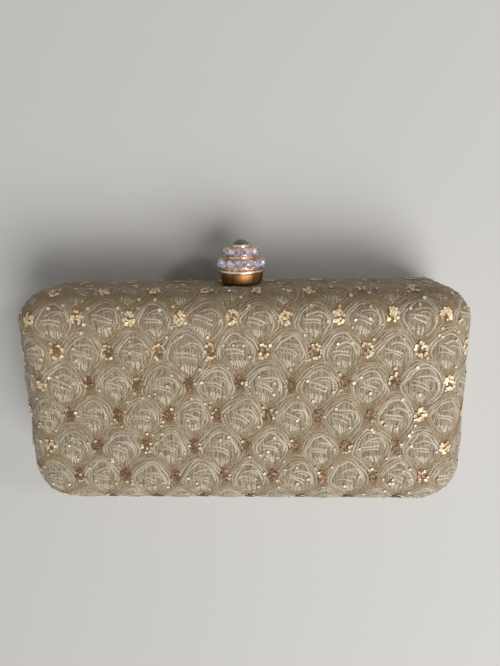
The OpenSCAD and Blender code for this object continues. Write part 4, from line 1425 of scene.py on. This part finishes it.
# The knob's turned metal: piece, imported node, slot, segments and the corners of its section. A corner is
# its distance from the axis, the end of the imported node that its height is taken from, its height over
# that end, and how much of it is cut.
FOOT, TOP = 0, 1
KNOB_METAL = (
    (
        "clasp_collar_shell",
        "clasp_collar",
        "aged_brass",
        128,
        [(3.0, FOOT, 0.0, 0.2), (COLLAR_FOOT, FOOT, 0.0, 0.35), (9.6, TOP, 0.0, 0.3)]
        + [(8.4, TOP, 0.0, 0.2), (7.6, FOOT, 1.2, 0.4), (3.0, FOOT, 1.2, 0.2)],
    ),
    (
        "clasp_lower_drum",
        "clasp_lower_setting",
        "gilt_metal",
        128,
        [(2.0, FOOT, 0.0, 0.2), (9.9, FOOT, 0.0, 0.6), (9.9, FOOT, 1.5, 0.6)]
        + [(8.5, FOOT, 1.7, 0.3), (8.4, TOP, 0.0, 0.6), (2.0, TOP, 0.0, 0.2)],
    ),
    (
        "clasp_upper_drum",
        "clasp_upper_setting",
        "gilt_metal",
        96,
        [(2.0, FOOT, 0.0, 0.2), (6.5, FOOT, 0.0, 0.4), (6.5, FOOT, 1.3, 0.4)]
        + [(6.1, FOOT, 1.4, 0.1), (6.1, TOP, 0.0, 0.5), (2.0, TOP, 0.0, 0.2)],
    ),
    (
        "clasp_bezel_ring",
        "clasp_top_bezel",
        "gilt_metal",
        96,
        [(1.5, FOOT, 0.0, 0.2), (4.3, FOOT, 0.0, 0.35), (4.3, TOP, 0.0, 0.2)]
        + [(3.75, TOP, 0.0, 0.15), (3.75, TOP, -0.6, 0.05), (1.5, TOP, -0.6, 0.2)],
    ),
)
# The cup round a crystal: play, wall inward and outward, depth, and place as a share of the crystal.
CUP_PLAY, CUP_INNER, CUP_OUTER, CUP_DEPTH, CUP_PLACE = 0.02, 0.25, 0.12, 1.9, 0.26
# The prongs: radius of the core, radius, depth, reach over the rim, and places as shares of the crystal.
PRONG_CORE, PRONG_RADIUS, PRONG_DEPTH, PRONG_REACH = 0.02, 0.3, 1.6, 0.25
PRONG_PLACE, PRONG_SPREAD = 0.2, 0.3
CUP_SEGMENTS, PRONG_SEGMENTS = 20, 8
# How much is cut of each corner of a cup's section and of a prong's.
CUP_CUTS, PRONG_CUTS = [0.1, 0.1, 0.06, 0.06], [0.01, 0.1, 0.22, 0.01]


def tier_place(tier):
    """How far from the knob's axis, and from the clasp's edge, a tier of packed crystals ends and lies."""
    low, high = node_box(f"clasp_{tier}_crystals")
    return high[2] - SEAM, (low[1] + high[1]) / 2 - HALF_HEIGHT


class MINAUDIERE_OT_clasp_metal(bpy.types.Operator):
    """Turns the collar, the two settings and the bezel of the knob"""

    bl_idname = "minaudiere.clasp_metal"
    bl_label = "Clasp metal"

    def execute(self, context):
        clasp = context.scene.minaudiere_clasp
        materials = {
            "aged_brass": brass_streaks_and_reflections(clasp),
            "gilt_metal": plated("lip_gilt", clasp.lip_colour, 0.16, 0.32),
        }
        cups = {
            "clasp_lower_setting": self.cups("lower", clasp.lower_stones, clasp.lower_stone / MM),
            "clasp_upper_setting": self.cups("upper", clasp.upper_stones, clasp.upper_stone / MM),
        }
        for name, node, slot, segments, corners in KNOB_METAL:
            ends = [corner[1] - HALF_HEIGHT for corner in node_box(node)]
            outline = [(radius, ends[end] + rise) for radius, end, rise, _ in corners]
            outline = softened(outline, [cut for _, _, _, cut in corners])
            vertices, faces = joined([revolved(outline, segments), *cups.get(node, [])])
            piece = make_piece(name, vertices, [faces], materials[slot])
            settle(piece, "latch", [node])
        return {"FINISHED"}

    def cups(self, tier, count, diameter):
        """The thin cup round each crystal of a tier, and two prongs in each gap between them."""
        outer, height = tier_place(tier)
        rim = diameter / 2 + CUP_PLAY
        inner, wall = rim - CUP_INNER, rim + CUP_OUTER
        cup = [(inner, -CUP_DEPTH), (wall, -CUP_DEPTH), (wall, 0.0), (rim - CUP_PLAY, 0.0)]
        cup = softened(cup, CUP_CUTS, 3)
        prong = [(PRONG_CORE, -PRONG_DEPTH), (PRONG_RADIUS, -PRONG_DEPTH)]
        prong = prong + [(PRONG_RADIUS, PRONG_REACH), (PRONG_CORE, PRONG_REACH)]
        prong = softened(prong, PRONG_CUTS, 4)
        shapes = [studs(cup, CUP_SEGMENTS, outer - CUP_PLACE * diameter, height, stone_angles(count))]
        between, place = stone_angles(count, 0.5), outer - PRONG_PLACE * diameter
        for rise in (-PRONG_SPREAD * diameter, PRONG_SPREAD * diameter):
            shapes.append(studs(prong, PRONG_SEGMENTS, place, height + rise, between))
        return shapes


def stone_angles(count, share=0.0):
    """Angles round the knob of its crystals, or of what lies between them by a share of their spacing."""
    return (np.arange(count) + share) * 2 * np.pi / count - np.pi / 2


def brilliant_rings(diameter):
    """Rings of a cut crystal, from its table to its culet: count, radius, depth, turn and step of angle.

    The table's eight corners, eight points half way down the crown between them, sixteen on each rim
    of the girdle, eight half way down the pavilion and eight round the culet.
    """
    eighth, sixteenth = np.pi / 4, np.pi / 8
    return [
        (8, 0.30 * diameter, 0.0, 0.0, eighth),
        (8, 0.41 * diameter, 0.11 * diameter, sixteenth, eighth),
        (16, 0.50 * diameter, 0.24 * diameter, 0.0, sixteenth),
        (16, 0.50 * diameter, 0.30 * diameter, 0.0, sixteenth),
        (8, 0.27 * diameter, 0.53 * diameter, sixteenth, eighth),
        (8, 0.03 * diameter, 0.70 * diameter, 0.0, eighth),
    ]


def crystal_ring(name, count, diameter, radius, height, materials):
    """Cut crystals facing out all round the knob, their tables on a circle of the given radius.

    Triangles and quads join the rings of a brilliant, and its table and culet are eight-sided. Facets
    above the girdle's lower rim are of glass, those below it of foil.
    """
    turns, outs, depths = [], [], []
    for number, ring_radius, depth, turn, step in brilliant_rings(diameter):
        turns.append(turn + np.arange(number) * step)
        outs.append(np.full(number, ring_radius))
        depths.append(np.full(number, depth))
    turns, outs, depths = np.concatenate(turns), np.concatenate(outs), np.concatenate(depths)
    up, across = outs * np.cos(turns), outs * np.sin(turns)
    # The first vertex of each ring, and the places of the facets round it.
    table, crown, rim, keel, pavilion, culet = 0, 8, 16, 32, 48, 56
    i, all_round = np.arange(8), np.arange(16)
    j, all_next = (i + 1) % 8, (all_round + 1) % 16
    even, odd, next_even = 2 * i, 2 * i + 1, (2 * i + 2) % 16
    triangles = (
        (table + i, crown + i, table + j),
        (crown + i, rim + even, rim + odd),
        (crown + i, rim + odd, rim + next_even),
        (pavilion + i, keel + odd, keel + even),
        (pavilion + i, keel + next_even, keel + odd),
        (culet + i, culet + j, pavilion + i),
    )
    quads = (
        (table + j, crown + i, rim + next_even, crown + j),
        (rim + all_round, keel + all_round, keel + all_next, rim + all_next),
        (culet + j, pavilion + j, keel + next_even, pavilion + i),
    )
    facets = [np.concatenate([np.stack(group, axis=1) for group in groups]) for groups in (triangles, quads)]
    facets.append(np.stack([table + i, culet + i[::-1]]))
    vertices = set_round(np.stack([radius - depths, across, height + up], axis=1), stone_angles(count))
    faces = [copied_faces(group, len(turns), count)[:, ::-1] for group in facets]
    # Over the girdle's lower rim lie the first half of the triangles and the first two groups of quads.
    glass, foil = 0, 1
    index = np.concatenate(
        [
            np.tile(np.repeat([glass, foil], [24, 24]), count),
            np.tile(np.repeat([glass, glass, foil], [8, 16, 8]), count),
            np.tile([glass, foil], count),
        ]
    )
    return make_piece(name, vertices, faces, materials, material_index=index, smooth=False)


class MINAUDIERE_OT_clasp_crystals(bpy.types.Operator):
    """Sets both tiers of cut crystals"""

    bl_idname = "minaudiere.clasp_crystals"
    bl_label = "Clasp crystals"

    def execute(self, context):
        clasp = context.scene.minaudiere_clasp
        materials = [cut_crystal(clasp), crystal_foil(clasp)]
        for tier, count, diameter in (
            ("lower", clasp.lower_stones, clasp.lower_stone / MM),
            ("upper", clasp.upper_stones, clasp.upper_stone / MM),
        ):
            radius, height = tier_place(tier)
            piece = crystal_ring(f"clasp_{tier}_brilliants", count, diameter, radius, height, materials)
            settle(piece, "latch", [f"clasp_{tier}_crystals"])
        return {"FINISHED"}


# Segments round the dome and stations from its rim to its top.
DOME_SEGMENTS, DOME_STATIONS = 96, 25
# How near points on the axis are merged, and the shortest edge that stays, in metres.
POLE_MERGE, SHORTEST_EDGE = 1e-7, 1e-8


def merge_poles(piece):
    """Merges the points that a turned outline leaves on its axis."""
    work = bmesh.new()
    work.from_mesh(piece.data)
    bmesh.ops.remove_doubles(work, verts=work.verts, dist=POLE_MERGE)
    bmesh.ops.dissolve_degenerate(work, edges=work.edges, dist=SHORTEST_EDGE)
    work.to_mesh(piece.data)
    work.free()


class MINAUDIERE_OT_clasp_dome(bpy.types.Operator):
    """Turns the smoky dome on top of the knob"""

    bl_idname = "minaudiere.clasp_dome"
    bl_label = "Clasp dome"

    def execute(self, context):
        """Turns a foot and a cap of a ball, whose radius follows from the cap's width and rise."""
        low, high = node_box("clasp_dome")
        radius, foot, top = high[0], low[1] - HALF_HEIGHT, high[1] - HALF_HEIGHT
        rise = top - (node_box("clasp_top_bezel")[1][1] - HALF_HEIGHT)
        ball = (radius**2 + rise**2) / (2 * rise)
        lean = np.linspace(np.arcsin(radius / ball), 0, DOME_STATIONS)
        cap = np.stack([ball * np.sin(lean), top - ball + ball * np.cos(lean)], axis=1)
        outline = np.concatenate([[[0.0, foot], [radius, foot]], cap])
        angle = np.linspace(0, 2 * np.pi, DOME_SEGMENTS, endpoint=False)[:, None]
        places = on_knob(outline[None, :, 0], outline[None, :, 1], angle).reshape(-1, 3)
        faces = grid_faces(DOME_SEGMENTS, len(outline), close_rows=True)
        material = smoky_stone(context.scene.minaudiere_clasp)
        piece = make_piece("clasp_smoky_dome", places, [faces], material)
        merge_poles(piece)
        settle(piece, "latch", ["clasp_dome"])
        return {"FINISHED"}


# The floor's level and half its edge, in millimetres.
FLOOR_LEVEL, FLOOR_REACH = -0.9, 1500.0
# The lamps' places and edges, and the point of the case that they shine on, in metres.
KEY_PLACE, KEY_EDGE = (0.95, -0.95, 1.7), 1.6
SIDE_PLACE, SIDE_EDGE = (0.8, 0.35, 0.8), 0.16
LAMP_AIM = (0, 0, 0.02)
# The camera's place in metres, and its pitch, yaw and roll in degrees, as fitted to the case's outline.
CAMERA_PLACE, CAMERA_TURN = (0.0127, 0.078, 0.2426), (13.56, -2.41, 0.49)


class MINAUDIERE_OT_stage(bpy.types.Operator):
    """Lays the floor, hangs the lamps and places the camera"""

    bl_idname = "minaudiere.stage"
    bl_label = "Stage"

    def execute(self, context):
        stage = context.scene.minaudiere_stage
        self.lay_floor(stage)
        self.hang_lamp("key_lamp", KEY_PLACE, KEY_EDGE, stage.key_power)
        self.hang_lamp("side_lamp", SIDE_PLACE, SIDE_EDGE, stage.side_power)
        self.light_sky(context, stage)
        self.place_camera(context, stage)
        context.scene.view_settings.view_transform = "Standard"
        return {"FINISHED"}

    def lay_floor(self, stage):
        """Lays a large pale floor just under the case."""
        material, tree, shader = blank_material("floor")
        cloud = noise(tree, object_place(tree), 6.0)
        set_colour(tree, shader, cloud, toned(stage.floor_colour, (0.3, 0.985), (0.7, 1.0)))
        set_finish(shader, Roughness=0.7)
        corners = FLOOR_REACH * np.array([[-1, -1], [1, -1], [1, 1], [-1, 1]])
        vertices = np.column_stack([corners, np.full(4, FLOOR_LEVEL)])
        floor = make_piece("floor", vertices, [np.arange(4)[None]], material, smooth=False)

    def hang_lamp(self, name, place, size, power):
        """Hangs a square lamp that shines on the middle of the case."""
        data = bpy.data.lights.new(name, "AREA")
        data.size = size
        data.energy = power
        lamp = bpy.data.objects.new(name, data)
        aim = Vector(place) - Vector(LAMP_AIM)
        lamp.matrix_world = Matrix.Translation(place) @ aim.to_track_quat("Z", "Y").to_matrix().to_4x4()
        bpy.context.scene.collection.objects.link(lamp)

    def light_sky(self, context, stage):
        """Lights the case evenly, and shows the floor's colour to the camera, in metal and through glass."""
        world = bpy.data.worlds.new("sky")
        world.use_nodes = True
        tree = world.node_tree
        lighting = tree.nodes["Background"]
        lighting.inputs["Color"].default_value = (1.0, 1.0, 1.0, 1.0)
        lighting.inputs["Strength"].default_value = stage.sky_strength
        backdrop = add_node(tree, "ShaderNodeBackground", {"Color": stage.floor_colour, "Strength": 1.0})
        ray = add_node(tree, "ShaderNodeLightPath").outputs
        mirrored = combined(tree, "MAXIMUM", ray["Is Glossy Ray"], ray["Is Transmission Ray"])
        seen = combined(tree, "MAXIMUM", mirrored, ray["Is Camera Ray"])
        inputs = {0: seen, 1: lighting.outputs[0], 2: backdrop.outputs[0]}
        both = add_node(tree, "ShaderNodeMixShader", inputs).outputs[0]
        feed(tree, tree.nodes["World Output"].inputs["Surface"], both)
        context.scene.world = world

    def place_camera(self, context, stage):
        """Puts the camera where the photograph was taken from."""
        pitch, yaw, roll = np.radians(CAMERA_TURN)
        turn = Matrix.Rotation(roll, 4, "Z") @ Matrix.Rotation(yaw, 4, "Y") @ Matrix.Rotation(pitch, 4, "X")
        data = bpy.data.cameras.new("camera")
        data.lens = stage.lens
        data.sensor_width = 36.0
        data.clip_start = 0.005
        camera = bpy.data.objects.new("camera", data)
        camera.matrix_world = Matrix.Translation(CAMERA_PLACE) @ turn.transposed()
        context.scene.collection.objects.link(camera)
        context.scene.camera = camera


class MINAUDIERE_PT_panel(bpy.types.Panel):
    """Lists the steps that dress the minaudiere"""

    bl_idname = "MINAUDIERE_PT_panel"
    bl_label = "Minaudiere"
    bl_space_type = "VIEW_3D"
    bl_region_type = "UI"
    bl_category = "Minaudiere"

    def draw(self, context):
        for step in STEPS:
            self.layout.operator(step.bl_idname)


STEPS = (
    MINAUDIERE_OT_fabric,
    MINAUDIERE_OT_embroidery,
    MINAUDIERE_OT_glitter,
    MINAUDIERE_OT_lining,
    MINAUDIERE_OT_hard_parts,
    MINAUDIERE_OT_latch_spring,
    MINAUDIERE_OT_clasp_metal,
    MINAUDIERE_OT_clasp_crystals,
    MINAUDIERE_OT_clasp_dome,
    MINAUDIERE_OT_stage,
)
GROUPS = {
    "minaudiere_fabric": FabricSettings,
    "minaudiere_clasp": ClaspSettings,
    "minaudiere_inside": InsideSettings,
    "minaudiere_stage": StageSettings,
}


def register():
    """Registers the settings, the steps and the panel."""
    for name, group in GROUPS.items():
        bpy.utils.register_class(group)
        setattr(bpy.types.Scene, name, PointerProperty(type=group))
    for step in STEPS + (MINAUDIERE_PT_panel,):
        bpy.utils.register_class(step)


def unregister():
    """Takes the panel, the steps and the settings out again."""
    for step in reversed(STEPS + (MINAUDIERE_PT_panel,)):
        bpy.utils.unregister_class(step)
    for name, group in GROUPS.items():
        delattr(bpy.types.Scene, name)
        bpy.utils.unregister_class(group)


def main():
    """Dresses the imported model."""
    register()
    bpy.ops.minaudiere.fabric()
    bpy.ops.minaudiere.embroidery()
    bpy.ops.minaudiere.glitter()
    bpy.ops.minaudiere.lining()
    bpy.ops.minaudiere.hard_parts()
    bpy.ops.minaudiere.latch_spring()
    bpy.ops.minaudiere.clasp_metal()
    bpy.ops.minaudiere.clasp_crystals()
    bpy.ops.minaudiere.clasp_dome()
    bpy.ops.minaudiere.stage()
    bpy.context.view_layer.update()


if __name__ == "__main__":
    main()
